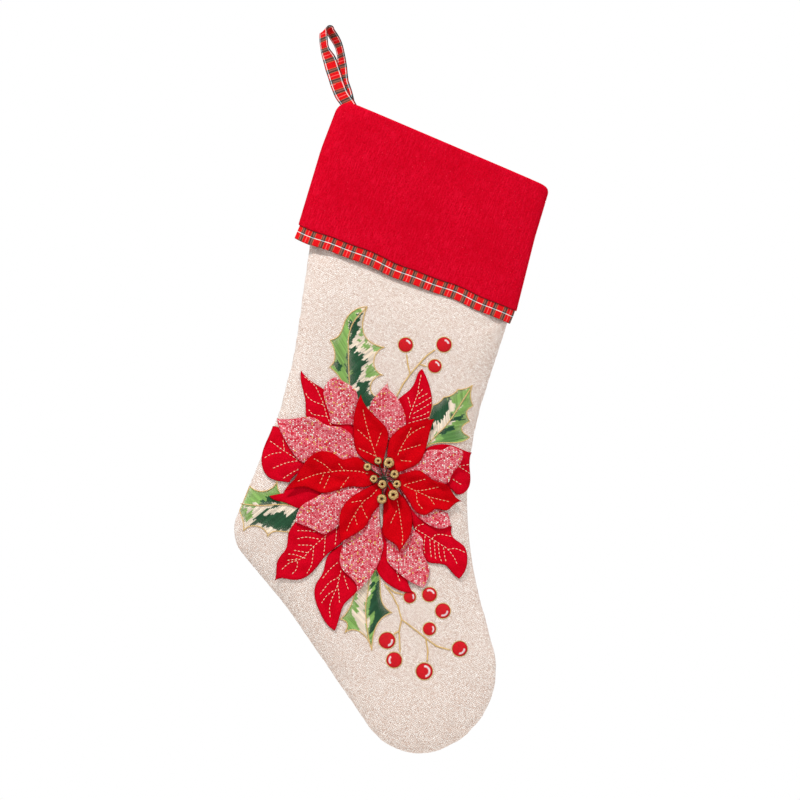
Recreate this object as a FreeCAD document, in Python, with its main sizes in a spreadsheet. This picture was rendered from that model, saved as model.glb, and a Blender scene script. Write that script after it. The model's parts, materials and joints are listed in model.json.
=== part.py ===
import FreeCAD, Part

# A hanging Christmas stocking: a flat linen sock with a lining, a folded red cuff with tartan
# trim, a ribbon loop to hang it by, and a poinsettia with holly and berries sewn to its front.
#
# Row frame: +Z up, the front faces -Y, and the origin is the middle of the round bight in the
# loop's top, where the rod of a hook sits.
# The sock is drawn as a flat pattern: u runs along the top of the cuff and v runs down the leg,
# with 0, 0 at the cuff's top corner under the loop. A pattern point (u, v) is x = u, z = -v in
# each sketch, and each piece's Placement turns the pattern by the angle at which the sock hangs.

import math
import os

from FreeCAD import Placement, Rotation, Vector

FLAT = 1e-4
UP_Y = Vector(0, 1, 0)

document = FreeCAD.newDocument("hanging_stocking")
sheet = document.addObject("Spreadsheet::Sheet", "Sizes")

DRIVING_SIZES = [
    ("hang_tilt", 22.5, "turn of the flat pattern about Y, degrees"),
    ("corner_x", 6.6, "cuff's top corner, sideways from the hook"),
    ("corner_drop", 49.3, "cuff's top corner, below the hook"),
    ("half_depth", 12.0, "from the side seam to the front or back face"),
    ("edge_round", 9.0, "rounding between a face and the side seam"),
    ("split_gap", 0.1, "each half stands this far from the seam plane"),
    ("linen_wall", 1.0, "linen thickness"),
    ("cloth_gap", 0.3, "space between two cloth layers"),
    ("lining_wall", 0.6, "lining thickness"),
    ("facing_wall", 0.8, "thickness of the cloth over the rim"),
    ("facing_rise", 1.5, "height of the facing above the rim"),
    ("facing_depth", 25.0, "depth of the facing inside the mouth"),
    ("cuff_wall", 1.2, "cuff thickness, two layers of cloth"),
    ("cuff_stand", 0.8, "space between cuff and leg"),
    ("cuff_drop", 111.0, "length of the cuff's red cloth"),
    ("trim_wall", 0.6, "ribbon thickness where it trims the hem"),
    ("trim_top", 108.0, "where the trim starts, under the hem"),
    ("trim_bottom", 122.5, "lower edge of the trim"),
    ("ribbon_wall", 0.7, "ribbon thickness in the loop"),
    ("ribbon_width", 12.0, "ribbon width in the loop"),
    ("bight_radius", 6.5, "inside radius of the loop's top"),
    ("bight_drop", 26.5, "from the hook to where the loop closes"),
    ("loop_lean", 15.5, "lean of the loop from upright, degrees"),
    ("loop_turn", 42.0, "turn of the ribbon about the loop's own length, degrees"),
    ("tab_start", 26.6, "where the doubled ribbon starts, below the hook"),
    ("tab_end", 48.0, "where the doubled ribbon ends, below the hook"),
    ("anchor_rise", 3.0, "height of the sewn-in ribbon ends above the mouth"),
    ("anchor_depth", 22.0, "depth of the sewn-in ribbon ends in the mouth"),
    ("anchor_inset", 4.2, "from the leg's edge to the sewn-in ribbon ends"),
    ("layer_gap", 0.1, "space between two layers of the decoration"),
    ("stitch_wall", 0.7, "height of the embroidery"),
    ("felt_wall", 1.0, "petal thickness"),
    ("stem_width", 1.2, "width of an embroidered berry stem"),
    ("berry_radius", 6.0, "radius of a middle-sized berry"),
    ("berry_height", 0.75, "height of a berry's padding"),
    ("bead_radius", 3.0, "radius of a middle-sized bead"),
    ("stamen_radius", 0.5, "radius of a green thread"),
    ("flower_u", 153.5, "middle of the flower on the pattern"),
    ("flower_v", 273.5, "middle of the flower on the pattern"),
]

for row, (alias, value, meaning) in enumerate(DRIVING_SIZES, start=1):
    sheet.set(f"A{row}", meaning)
    sheet.set(f"B{row}", str(value))
    sheet.setAlias(f"B{row}", alias)
document.recompute()

parts = []


def size(alias):
    return float(sheet.get(alias))


# ---------------------------------------------------------------- outlines

# Corners of the flat leg, in pattern order from the mouth down the back seam, round the heel
# and toe and up the instep: u, v and the radius that rounds the corner.
LEG_CORNERS = [
    (2.5, 0, 0),
    (17.0, 105.0, 150),
    (44.5, 212.0, 250),
    (51.5, 262.0, 150),
    (51.5, 372.7, 30),
    (121.0, 409.7, 200),
    (256.6, 498.0, 52),
    (330.0, 421.7, 72),
    (212.0, 268.0, 300),
    (200.5, 122.0, 200),
    (185.5, 0, 0),
]

# The cuff flares towards its hem: u of its two edges at three depths.
CUFF_LEVELS = [0.0, 45.0, 111.0]
CUFF_LEFT = [-0.4, 0.8, 7.5]
CUFF_RIGHT = [188.6, 193.0, 202.8]
CUFF_BEND = 150


def along(levels, values, v):
    """Value at depth v on a line through the given levels, carried on past its ends."""
    last = len(levels) - 2
    index = next((i for i in range(last) if v < levels[i + 1]), last)
    share = (v - levels[index]) / (levels[index + 1] - levels[index])
    return values[index] + share * (values[index + 1] - values[index])


def cuff_corners(top, bottom, inset=0.0):
    """Corners of the cuff's flat shape between two depths, moved in by inset at its sides."""
    levels = [top] + [v for v in CUFF_LEVELS[1:-1] if top < v < bottom] + [bottom]
    left = [(along(CUFF_LEVELS, CUFF_LEFT, v) + inset, v) for v in levels]
    right = [(along(CUFF_LEVELS, CUFF_RIGHT, v) - inset, v) for v in reversed(levels)]
    ends = (top, bottom)
    return [(u, v, 0 if v in ends else CUFF_BEND) for u, v in left + right]


def leg_edge(v):
    """u of the leg's left edge near the mouth."""
    (top_u, _, _), (bend_u, bend_v, _) = LEG_CORNERS[:2]
    return top_u + (bend_u - top_u) * v / bend_v


def mouth_corners(top, bottom, inset):
    """Corners of the leg's flat shape near the mouth, between two depths, moved in by inset."""
    right_u, right_v, _ = LEG_CORNERS[-2]
    mouth_u = LEG_CORNERS[-1][0]
    slope = (right_u - mouth_u) / right_v
    left = [(leg_edge(v) + inset, v, 0) for v in (top, bottom)]
    right = [(mouth_u + slope * v - inset, v, 0) for v in (bottom, top)]
    return left + right


def shrink(corners, inset, closed_side_moves=False):
    """Corners of a rounded polygon moved inward. The last side, the mouth, stays unless told."""
    count = len(corners)
    points = [Vector(u, v, 0) for u, v, _ in corners]
    area = sum(a.x * b.y - b.x * a.y for a, b in zip(points, points[1:] + points[:1]))
    turn = 1 if area > 0 else -1
    moved = []
    for index in range(count):
        start, end = points[index], points[(index + 1) % count]
        direction = (end - start).normalize()
        inward = Vector(-direction.y, direction.x, 0) * turn
        stays = index == count - 1 and not closed_side_moves
        moved.append((start + inward * (0 if stays else inset), direction))
    result = []
    for index, (_, _, radius) in enumerate(corners):
        (before, before_way), (after, after_way) = moved[index - 1], moved[index]
        cross = before_way.x * after_way.y - before_way.y * after_way.x
        gap = after - before
        reach = (gap.x * after_way.y - gap.y * after_way.x) / cross
        corner = before + before_way * reach
        bulges = cross * turn > 0
        rounded = radius - inset if bulges else radius + inset
        result.append((corner.x, corner.y, rounded if radius else 0))
    return result


def rounded_outline(corners):
    """Sketch edges of a closed polygon whose corners are rounded with arcs."""
    points = [Vector(u, -v, 0) for u, v, _ in corners]
    bends = []
    for index, (_, _, radius) in enumerate(corners):
        here = points[index]
        back = (points[index - 1] - here).normalize()
        ahead = (points[(index + 1) % len(points)] - here).normalize()
        if radius == 0:
            bends.append((here, None, here))
            continue
        half = back.getAngle(ahead) / 2
        reach = radius / math.tan(half)
        middle = (back + ahead).normalize() * (radius / math.sin(half) - radius)
        bends.append((here + back * reach, here + middle, here + ahead * reach))
    edges = []
    for index, (start, middle, end) in enumerate(bends):
        if middle is not None:
            edges.append(Part.Arc(start, middle, end))
        following = bends[(index + 1) % len(bends)][0]
        if (following - end).Length > FLAT:
            edges.append(Part.LineSegment(end, following))
    return edges


def smooth_outline(runs):
    """Sketch edges through runs of pattern points. Each run is smooth and ends at a corner,
    where the next run starts."""
    edges = []
    for index, run in enumerate(runs):
        corner = runs[(index + 1) % len(runs)][0]
        points = [Vector(u, -v, 0) for u, v in run + [corner]]
        if len(points) == 2:
            edges.append(Part.LineSegment(*points))
            continue
        curve = Part.BSplineCurve()
        curve.interpolate(points)
        edges.append(curve)
    return edges


# ---------------------------------------------------------------- building blocks


def new_body(name):
    body = document.addObject("PartDesign::Body", name)
    body.Label = name
    parts.append(body)
    return body


def add_sketch(body, edges):
    sketch = body.newObject("Sketcher::SketchObject", body.Name + "_outline")
    planes = body.Origin.OriginFeatures
    plane = next(item for item in planes if item.Role == "XZ_Plane")
    sketch.AttachmentSupport = [(plane, "")]
    sketch.MapMode = "FlatFace"
    sketch.addGeometry(edges, False)
    return sketch


def add_pad(body, sketch, length, backwards=False, both_ways=False):
    """Pad towards the front, -Y, or backwards. length is an expression on the sheet."""
    pad = body.newObject("PartDesign::Pad", body.Name + "_pad")
    pad.Profile = sketch
    pad.setExpression("Length", length)
    pad.Reversed = backwards
    if both_ways:
        pad.SideType = "Symmetric"
    document.recompute()
    return pad


def hang_on_pattern(item, depth="0"):
    """Places a piece drawn on the flat pattern. depth is an expression for its Y."""
    item.Placement = Placement(Vector(), Rotation(UP_Y, size("hang_tilt")))
    item.setExpression("Placement.Rotation.Angle", "Sizes.hang_tilt")
    item.setExpression("Placement.Base.x", "Sizes.corner_x")
    item.setExpression("Placement.Base.y", depth)
    item.setExpression("Placement.Base.z", "-Sizes.corner_drop")


def lies_at(box, level, low, high):
    return abs(getattr(box, low) - level) < FLAT and abs(getattr(box, high) - level) < FLAT


def half_shell(name, corners, backwards, depth, rounding, wall, open_levels):
    """Front or back half of a flat cloth tube: padded from the seam plane to its face, rounded
    along that face, and hollowed, open at the seam plane and at the given depths."""
    body = new_body(name)
    sketch = add_sketch(body, rounded_outline(corners))
    pad = add_pad(body, sketch, depth, backwards)
    box = pad.Shape.BoundBox
    face_y = box.YMax if backwards else box.YMin
    edges = []
    for index, edge in enumerate(pad.Shape.Edges, start=1):
        on_face = lies_at(edge.BoundBox, face_y, "YMin", "YMax")
        at_end = any(lies_at(edge.BoundBox, -v, "ZMin", "ZMax") for v in open_levels)
        if on_face and not at_end:
            edges.append(f"Edge{index}")
    fillet = body.newObject("PartDesign::Fillet", name + "_rounding")
    fillet.Base = (pad, edges)
    fillet.setExpression("Radius", rounding)
    document.recompute()
    faces = []
    for index, face in enumerate(fillet.Shape.Faces, start=1):
        at_seam = lies_at(face.BoundBox, 0, "YMin", "YMax")
        at_end = any(lies_at(face.BoundBox, -v, "ZMin", "ZMax") for v in open_levels)
        if at_seam or at_end:
            faces.append(f"Face{index}")
    hollow = body.newObject("PartDesign::Thickness", name + "_hollow")
    hollow.Base = (fillet, faces)
    hollow.Mode = "Skin"
    hollow.Join = "Intersection"
    hollow.Reversed = True
    hollow.setExpression("Value", wall)
    hang_on_pattern(body, "Sizes.split_gap" if backwards else "-Sizes.split_gap")
    return body


def flat_piece(name, runs, start, thickness):
    """A flat piece of the decoration. start is how far in front of the seam its back lies."""
    body = new_body(name)
    sketch = add_sketch(body, smooth_outline(runs))
    add_pad(body, sketch, thickness)
    hang_on_pattern(body, f"-({start})")
    return body


# ---------------------------------------------------------------- sock, lining, mouth

LINING_INSET = "Sizes.linen_wall + Sizes.cloth_gap"
FACING_INSET = f"{LINING_INSET} + Sizes.lining_wall + Sizes.cloth_gap"
CUFF_FACE = "Sizes.half_depth + Sizes.cuff_stand + Sizes.cuff_wall"
TRIM_FACE = "Sizes.half_depth + Sizes.cuff_stand - Sizes.layer_gap"


def build_leg(side, backwards):
    half_shell(
        "leg_" + side, LEG_CORNERS, backwards,
        "Sizes.half_depth", "Sizes.edge_round", "Sizes.linen_wall", [0],
    )


def build_lining(side, backwards):
    inset = size("linen_wall") + size("cloth_gap")
    half_shell(
        "lining_" + side, shrink(LEG_CORNERS, inset), backwards,
        f"Sizes.half_depth - ({LINING_INSET})", f"Sizes.edge_round - ({LINING_INSET})",
        "Sizes.lining_wall", [0],
    )


def build_facing(side, backwards):
    inset = size("linen_wall") + size("lining_wall") + 2 * size("cloth_gap")
    top, bottom = -size("facing_rise"), size("facing_depth")
    half_shell(
        "mouth_facing_" + side, mouth_corners(top, bottom, inset), backwards,
        f"Sizes.half_depth - ({FACING_INSET})", f"Sizes.edge_round - ({FACING_INSET})",
        "Sizes.facing_wall", [top, bottom],
    )


def build_cuff(side, backwards):
    bottom = size("cuff_drop")
    half_shell(
        "cuff_" + side, cuff_corners(0, bottom), backwards,
        CUFF_FACE, "Sizes.edge_round + Sizes.cuff_wall", "Sizes.cuff_wall", [0, bottom],
    )


def build_trim(side, backwards):
    top, bottom = size("trim_top"), size("trim_bottom")
    inset = size("cuff_wall") + size("layer_gap")
    half_shell(
        "trim_" + side, cuff_corners(top, bottom, inset), backwards,
        TRIM_FACE, "Sizes.edge_round", "Sizes.trim_wall", [top, bottom],
    )


# ---------------------------------------------------------------- ribbon loop


def hang_on_loop(item):
    """Places a piece drawn upright below the hook: turned about its length, then leaned."""
    turned = Rotation(Vector(0, 0, 1), size("loop_turn"))
    leaned = Rotation(UP_Y, -size("loop_lean"))
    item.Placement = Placement(Vector(), leaned.multiply(turned))


def build_hanging_loop():
    """The open part of the loop: a round bight over the hook whose sides close at a point."""
    radius, drop, wall = size("bight_radius"), size("bight_drop"), size("ribbon_wall")
    half_angle = math.asin(radius / drop)
    shoulder = (drop + radius) * math.tan(half_angle)
    inner = [(-shoulder, -radius, radius), (0, drop, wall), (shoulder, -radius, radius)]
    outer = shrink(inner, -wall, closed_side_moves=True)
    body = new_body("hanging_loop")
    sketch = add_sketch(body, rounded_outline(outer) + rounded_outline(inner))
    add_pad(body, sketch, "Sizes.ribbon_width", both_ways=True)
    hang_on_loop(body)


def build_loop_tab():
    """The two ends of the ribbon lying face to face below the loop."""
    wall = size("ribbon_wall")
    top, bottom = size("tab_start"), size("tab_end")
    corners = [(-wall, top, 0), (-wall, bottom, 0), (wall, bottom, 0), (wall, top, 0)]
    body = new_body("loop_tab")
    sketch = add_sketch(body, rounded_outline(corners))
    add_pad(body, sketch, "Sizes.ribbon_width", both_ways=True)
    hang_on_loop(body)


def build_loop_anchor():
    """The ribbon's ends inside the mouth, sewn along the side seam."""
    top, bottom = -size("anchor_rise"), size("anchor_depth")
    inset, wide = size("anchor_inset"), 2 * size("ribbon_wall")
    left = [(leg_edge(v) + inset, v, 0) for v in (top, bottom)]
    right = [(u + wide, v, 0) for u, v, _ in reversed(left)]
    body = new_body("loop_anchor")
    sketch = add_sketch(body, rounded_outline(left + right))
    add_pad(body, sketch, "Sizes.ribbon_width", both_ways=True)
    hang_on_pattern(body)


# ---------------------------------------------------------------- poinsettia

STITCH_START = "Sizes.half_depth + Sizes.split_gap + Sizes.layer_gap"
BASE_START = f"{STITCH_START} + Sizes.stitch_wall + Sizes.layer_gap"
PINK_START = f"{BASE_START} + Sizes.felt_wall + Sizes.layer_gap"
RED_START = f"{PINK_START} + Sizes.felt_wall + Sizes.layer_gap"
RED_TOP_START = f"{RED_START} + Sizes.felt_wall + Sizes.layer_gap"
BEAD_START = f"{RED_TOP_START} + Sizes.felt_wall + Sizes.layer_gap"

# Crimson petals on the linen, clockwise from the top. Each starts at its root near the flower's
# middle, and its tip is the corner that starts its second run.
BASE_PETALS = [
    [
        [(152, 262), (143, 232), (139.6, 213), (144.3, 204.3), (146.8, 195.7), (146.4, 188.6)],
        [(148.2, 182), (158.6, 192), (167, 206.4), (169, 216), (168, 234)],
    ],
    [
        [(162, 268), (172, 249), (180, 238), (187, 233.6), (196, 231.2), (205, 231.2)],
        [(212.8, 230.4), (218.3, 247), (221.6, 258), (219.5, 264)],
        [(214.3, 267.5), (208.6, 265), (190, 266)],
    ],
    [
        [(166, 279), (190, 289), (208, 294)],
        [(221, 293), (227.5, 302), (236, 304.2), (242.8, 312.3), (245, 320)],
        [(243, 331), (236, 328.6), (228, 325), (214, 328), (203.5, 319), (190, 304)],
    ],
    [
        [(160, 288), (185, 325), (200, 342), (207, 352)],
        [(212, 356), (204, 358.6), (195, 358.4), (185.8, 356), (175, 348), (168, 322)],
    ],
    [
        [(155, 288), (147, 325), (142, 342), (137, 349.5), (135.2, 358), (136.8, 370),
         (135.2, 381), (138.5, 391), (147, 400.5), (157, 408)],
        [(164.5, 410), (163.6, 398), (163.5, 386), (167, 378), (170, 358), (167, 330)],
    ],
    [
        [(149, 288), (118, 312), (99.7, 340), (98.2, 351), (101, 362), (98.4, 374), (101, 384)],
        [(102.6, 391.6), (105.5, 387.6), (113, 385.3), (122, 381.5), (129, 371.5), (134, 355),
         (141.5, 341), (146, 320)],
    ],
    [
        [(146, 282), (110, 297.5), (90, 302), (83.5, 311.5)],
        [(81.5, 321.3), (76, 324.6)],
        [(71.5, 327.8), (77, 329.2), (84.3, 328), (98.6, 328), (115, 314)],
    ],
    [
        [(146, 277), (100, 276), (70, 274), (57, 272.3)],
        [(51.9, 273.2), (51.9, 286), (53, 300), (57, 308), (65, 313.6), (75.7, 313)],
        [(82.8, 311), (86, 302), (100, 294)],
    ],
    [
        [(146, 271), (112, 246), (90, 232), (78, 228.6), (66, 226.3)],
        [(56, 221.4), (60, 231), (68.6, 243), (71.5, 249)],
        [(74.3, 255.4), (95, 258), (120, 260)],
    ],
]

# Pink tweed petals, clockwise from the top.
PINK_PETALS = [
    [
        [(149, 263), (142, 245), (130, 236), (121.4, 231.4), (120, 224), (122.5, 214)],
        [(126, 202), (130, 208.5), (137, 211.5), (146, 218.5), (153.4, 229.5), (153.6, 245)],
    ],
    [
        [(160, 269.5), (170, 257), (176.4, 245), (183, 240), (190, 237), (193, 233.3), (198.6, 232)],
        [(205.7, 232.6), (207, 244), (204.4, 254), (204, 261), (198, 264.6), (186, 262.6), (172, 267)],
    ],
    [
        [(163.5, 278.5), (185, 281.8), (204, 284.2)],
        [(213.6, 284.3), (217, 288.6)],
        [(219.6, 292), (211, 299), (201, 298.8), (192, 296.6), (180, 289.3)],
    ],
    [
        [(161, 285), (178, 300), (192, 308), (202, 312), (208, 323.6), (216, 331), (219.2, 341)],
        [(218.6, 349), (206, 348.6), (190, 343.8), (182, 339.5), (178, 330), (172, 320), (166.5, 305)],
    ],
    [
        [(155.5, 287.5), (160.5, 304), (166.5, 316), (174.5, 330), (176.2, 340), (175.2, 356)],
        [(169, 373), (163, 365.5), (150, 360), (145, 352), (143.5, 344)],
        [(142, 339.3), (150, 318)],
    ],
    [
        [(149.5, 283), (132, 292), (115.7, 303.5), (105.7, 316.4), (100, 324), (98.4, 333)],
        [(100, 339.3), (113, 339.3)],
        [(125.7, 340), (131, 333.5), (134.3, 328), (138, 318), (144, 300)],
    ],
    [
        [(145.5, 273), (126, 264), (116, 255.6), (105, 252.6), (93, 255.4), (80, 253.8),
         (69, 259), (61.4, 263.2)],
        [(52.4, 266), (60, 275), (68.6, 282), (77, 288), (87, 291.4), (96, 288.5), (120, 281)],
    ],
    [
        [(146.5, 268.5), (127, 255), (112, 247.3), (103, 250.6)],
        [(95, 252.4), (89.5, 243.5), (81.8, 234), (79.5, 226), (81.6, 219)],
        [(85, 215.7), (94, 216.8), (104, 219.6), (110, 227), (125, 247)],
    ],
]

# Red felt petals, clockwise from the top.
RED_PETALS = [
    [
        [(153, 269), (147.4, 256), (145.6, 246), (148.6, 237.5), (154, 229.5), (164, 222)],
        [(173.5, 216.5), (174, 227), (176.5, 244), (175.5, 255), (168, 264), (161, 270)],
    ],
    [
        [(158, 273.5), (167, 268), (179, 260.6), (192, 263.6), (203.5, 263), (213, 268.6)],
        [(222, 270.5), (215.5, 276), (212, 282.5), (203, 285), (198, 292), (190, 293.8),
         (180, 287.5), (170, 281)],
    ],
    [
        [(158, 277), (173, 285.5), (183, 292.5), (189.6, 303), (191.5, 314), (190.2, 322)],
        [(188.5, 330), (184, 325), (172, 322), (167.5, 314), (161.5, 298)],
    ],
    [
        [(153, 277.5), (146, 288), (135, 302), (131, 314), (133, 325)],
        [(141, 341), (149, 330), (154.8, 320.5), (156.2, 309), (158.6, 300), (157.5, 288)],
    ],
    [
        [(150, 277), (138, 273.6), (125, 270.6), (114.5, 276.6)],
        [(114, 276.6), (105, 274.8), (95, 278.3), (88.6, 289), (86, 304)],
        [(80.5, 320), (88, 314), (97, 309.4), (109, 309), (120, 303.4), (131.5, 294.6),
         (142, 290.6), (149, 283)],
    ],
    [
        [(150, 271), (136, 270.4), (124.5, 266.2), (117, 255), (112, 243)],
        [(109.5, 221), (120, 230), (133, 235.4), (141, 240), (145.4, 250), (147.6, 263)],
    ],
]

# Holly leaves: every corner is a spike, or lies out of sight under a petal.
HOLLY_LEAVES = [
    [
        [(86.7, 152), (79, 157.4), (74.2, 168), (74.6, 180)],
        [(68.6, 189.3), (75.7, 196.4), (78.4, 204)],
        [(76.8, 210), (84, 212.6)],
        [(92, 218), (101, 233), (112, 238), (120, 230)],
        [(121.4, 218), (114.6, 213), (114.6, 205)],
        [(120.4, 199.3), (110.6, 195), (108.4, 184)],
        [(115.5, 176.2), (105, 178.6), (94, 175), (88, 165)],
    ],
    [
        [(192, 178.6), (187, 184)],
        [(182, 186.8), (179, 193)],
        [(173.6, 197), (171.5, 203)],
        [(168, 206.4), (170, 222)],
        [(176, 241), (186, 232.6), (199, 227)],
        [(206.4, 219.3), (197.5, 215.5)],
        [(201.4, 207), (196, 201)],
        [(199, 194.3), (194, 188)],
    ],
    [
        [(174, 349), (181, 354), (186, 364), (192, 373.6)],
        [(202.6, 378), (195.5, 388), (195.4, 402)],
        [(199, 413.5), (190, 405), (181, 402.8)],
        [(172.5, 408.5), (171, 400)],
        [(164.8, 399.5), (168.6, 385), (167.5, 366)],
    ],
    [
        [(53.4, 326.5), (65, 326.4), (71, 321)],
        [(72.8, 313), (77, 320.6)],
        [(83, 324), (100, 327), (104, 345), (96, 349.8), (87, 353)],
        [(84, 364.5), (79.5, 355.6), (69, 355.6)],
        [(63, 363), (59, 355)],
        [(53.4, 349)],
    ],
]


def build_petals(family, petals, starts):
    """One flat piece per petal. Neighbours take the given start depths in turn."""
    for index, runs in enumerate(petals):
        name = f"{family}_{index + 1}"
        flat_piece(name, runs, starts[index % len(starts)], "Sizes.felt_wall")


def build_holly():
    for index, runs in enumerate(HOLLY_LEAVES):
        flat_piece(f"holly_leaf_{index + 1}", runs, STITCH_START, "Sizes.stitch_wall")


# ---------------------------------------------------------------- berries and beads

# Each berry or bead: u, v and its size against the middle-sized one.
UPPER_BERRIES = [(128, 169, 1.0), (157.3, 156.7, 1.03), (157, 176, 0.92)]
LOWER_BERRIES = [
    (211, 360.5, 0.85), (225.3, 352.4, 1.0), (240.7, 360.7, 1.03), (236.2, 378.7, 0.9),
    (265.6, 384.3, 1.05), (245.7, 412.7, 1.15), (219, 413.7, 1.07), (207.4, 401, 1.13),
]
BEADS = [
    (152.5, 264.3, 1.3), (143.6, 266.4, 0.9), (160.4, 271.4, 1.05), (137.5, 274.3, 0.95),
    (165.4, 278.2, 1.0), (146.1, 281.4, 0.95), (154.3, 282.9, 1.1), (166.1, 287.5, 1.3),
    (158.6, 294.3, 1.2),
]

UPPER_STEMS = [
    [(137.5, 211.4), (138.4, 200), (140.7, 190), (144.3, 179.3), (147.5, 170.5), (151.8, 163.8)],
    [(140.7, 190), (136, 183.5), (132, 176.5)],
    [(144.3, 179.3), (150.5, 179)],
]
LOWER_STEMS = [
    [(188, 359), (197, 364.6), (205, 371.4), (212, 380.4), (213.6, 390), (217, 397), (221, 405.6)],
    [(212, 380.4), (222, 382.8), (236.3, 387), (242, 396), (244.6, 404)],
    [(236.3, 387), (247, 389.6), (258, 388.4)],
    [(188, 359), (198, 361.8), (204.6, 361)],
    [(213.6, 390), (211, 393.6)],
]


def build_berries(name, berries):
    """Low padded discs, one for each berry, as one group."""
    discs = []
    for index, (u, v, scale) in enumerate(berries, start=1):
        disc = document.addObject("Part::Cylinder", f"{name}_{index}")
        disc.setExpression("Radius", f"Sizes.berry_radius * {scale}")
        disc.setExpression("Height", "Sizes.berry_height")
        disc.Placement = Placement(Vector(u, 0, -v), Rotation(Vector(1, 0, 0), 90))
        discs.append(disc)
    group_solids(name, discs, f"-({STITCH_START})")


def build_beads():
    beads = []
    for index, (u, v, scale) in enumerate(BEADS, start=1):
        bead = document.addObject("Part::Sphere", f"bead_{index}")
        bead.setExpression("Radius", f"Sizes.bead_radius * {scale}")
        bead.Placement = Placement(Vector(u, 0, -v), Rotation())
        bead.setExpression("Placement.Base.y", f"-Sizes.bead_radius * {scale}")
        beads.append(bead)
    group_solids("stamen_beads", beads, f"-({BEAD_START})")


def group_solids(name, members, depth):
    group = document.addObject("Part::Compound", name)
    group.Label = name
    group.Links = members
    hang_on_pattern(group, depth)
    parts.append(group)


def thread_run(points, width, height):
    """A flat thread through pattern points: a bar along each stretch and a disc at each point."""
    front = Vector(0, -1, 0)
    solids = []
    for u, v in points:
        solids.append(Part.makeCylinder(width / 2, height, Vector(u, 0, -v), front))
    for (u, v), (next_u, next_v) in zip(points, points[1:]):
        way = Vector(next_u - u, 0, v - next_v)
        bar = Part.makeBox(way.Length, height, width, Vector(0, -height, -width / 2))
        angle = math.degrees(math.atan2(v - next_v, next_u - u))
        bar.Placement = Placement(Vector(u, 0, -v), Rotation(UP_Y, -angle)).multiply(bar.Placement)
        solids.append(bar)
    return solids


def make_stems(name, runs, berries):
    """Berry stems, fused where they fork and cut back to leave each berry clear."""
    width, height = size("stem_width"), size("stitch_wall")
    solids = [solid for run in runs for solid in thread_run(run, width, height)]
    stems = solids[0].fuse(solids[1:]).removeSplitter()
    for u, v, scale in berries:
        clear = size("berry_radius") * scale + size("layer_gap")
        centre = Vector(u, height, -v)
        stems = stems.cut(Part.makeCylinder(clear, 3 * height, centre, Vector(0, -1, 0)))
    feature = document.addObject("Part::Feature", name)
    feature.Label = name
    feature.Shape = stems
    hang_on_pattern(feature, f"-({STITCH_START})")
    parts.append(feature)


def make_stamen_threads():
    """Green threads that run from a knot in the flower's middle to each bead."""
    radius = size("stamen_radius")
    middle = Vector(size("flower_u"), -radius, -size("flower_v"))
    solids = [Part.makeCylinder(4 * radius, 2 * radius, middle + Vector(0, radius, 0), Vector(0, -1, 0))]
    for u, v, scale in BEADS:
        way = Vector(u, -radius, -v) - middle
        length = way.Length - size("bead_radius") * scale - size("layer_gap")
        if length > 4 * radius:
            solids.append(Part.makeCylinder(radius, length, middle, way))
    threads = solids[0].fuse(solids[1:])
    for u, v, scale in BEADS:
        clear = size("bead_radius") * scale + size("layer_gap")
        foot = Part.makeCylinder(clear, 4 * radius, Vector(u, radius, -v), Vector(0, -1, 0))
        threads = threads.cut(foot)
    feature = document.addObject("Part::Feature", "stamen_threads")
    feature.Label = "stamen_threads"
    feature.Shape = threads
    hang_on_pattern(feature, f"-({BEAD_START})")
    parts.append(feature)


# ---------------------------------------------------------------- build, check and write

for side, backwards in (("front", False), ("back", True)):
    build_leg(side, backwards)
    build_lining(side, backwards)
    build_facing(side, backwards)
    build_cuff(side, backwards)
    build_trim(side, backwards)
build_hanging_loop()
build_loop_tab()
build_loop_anchor()
build_petals("base_petal", BASE_PETALS, [BASE_START])
build_petals("pink_petal", PINK_PETALS, [PINK_START])
build_petals("red_petal", RED_PETALS, [RED_START, RED_TOP_START])
build_holly()
build_berries("berries_upper", UPPER_BERRIES)
build_berries("berries_lower", LOWER_BERRIES)
build_beads()
make_stems("berry_stems_upper", UPPER_STEMS, UPPER_BERRIES)
make_stems("berry_stems_lower", LOWER_STEMS, LOWER_BERRIES)
make_stamen_threads()
document.recompute()

for item in document.Objects:
    if "Invalid" in item.State or "Error" in item.State:
        raise RuntimeError(f"{item.Name} failed: {item.State}")
for item in parts:
    if item.Shape.isNull() or not item.Shape.isValid() or not item.Shape.Solids:
        raise RuntimeError(f"{item.Label} has no valid solid")

os.makedirs("parts", exist_ok=True)
for item in parts:
    item.Shape.exportStep(f"parts/{item.Label}.step")
    print(f"{item.Label}: {len(item.Shape.Solids)} solid(s), {item.Shape.Volume:.0f} mm3")
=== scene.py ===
"""A hanging Christmas stocking: linen sock, red cuff with tartan trim, ribbon loop, and a
poinsettia with holly and berries sewn to its front.

Everything is laid out on the flat pattern: u runs along the cuff's top, v runs down the leg and
y runs from the front (-) to the back (+), all in millimetres. place() turns pattern points into
the row frame. Outlines come from the CAD nodes. The stitched veins, the leaves' colour patches,
the berries' glints and the ribbon's path are listed places.
"""

import json
import math

import bmesh
import bpy
import numpy as np
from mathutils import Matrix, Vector
from mathutils.bvhtree import BVHTree
from mathutils.geometry import delaunay_2d_cdt


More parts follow.
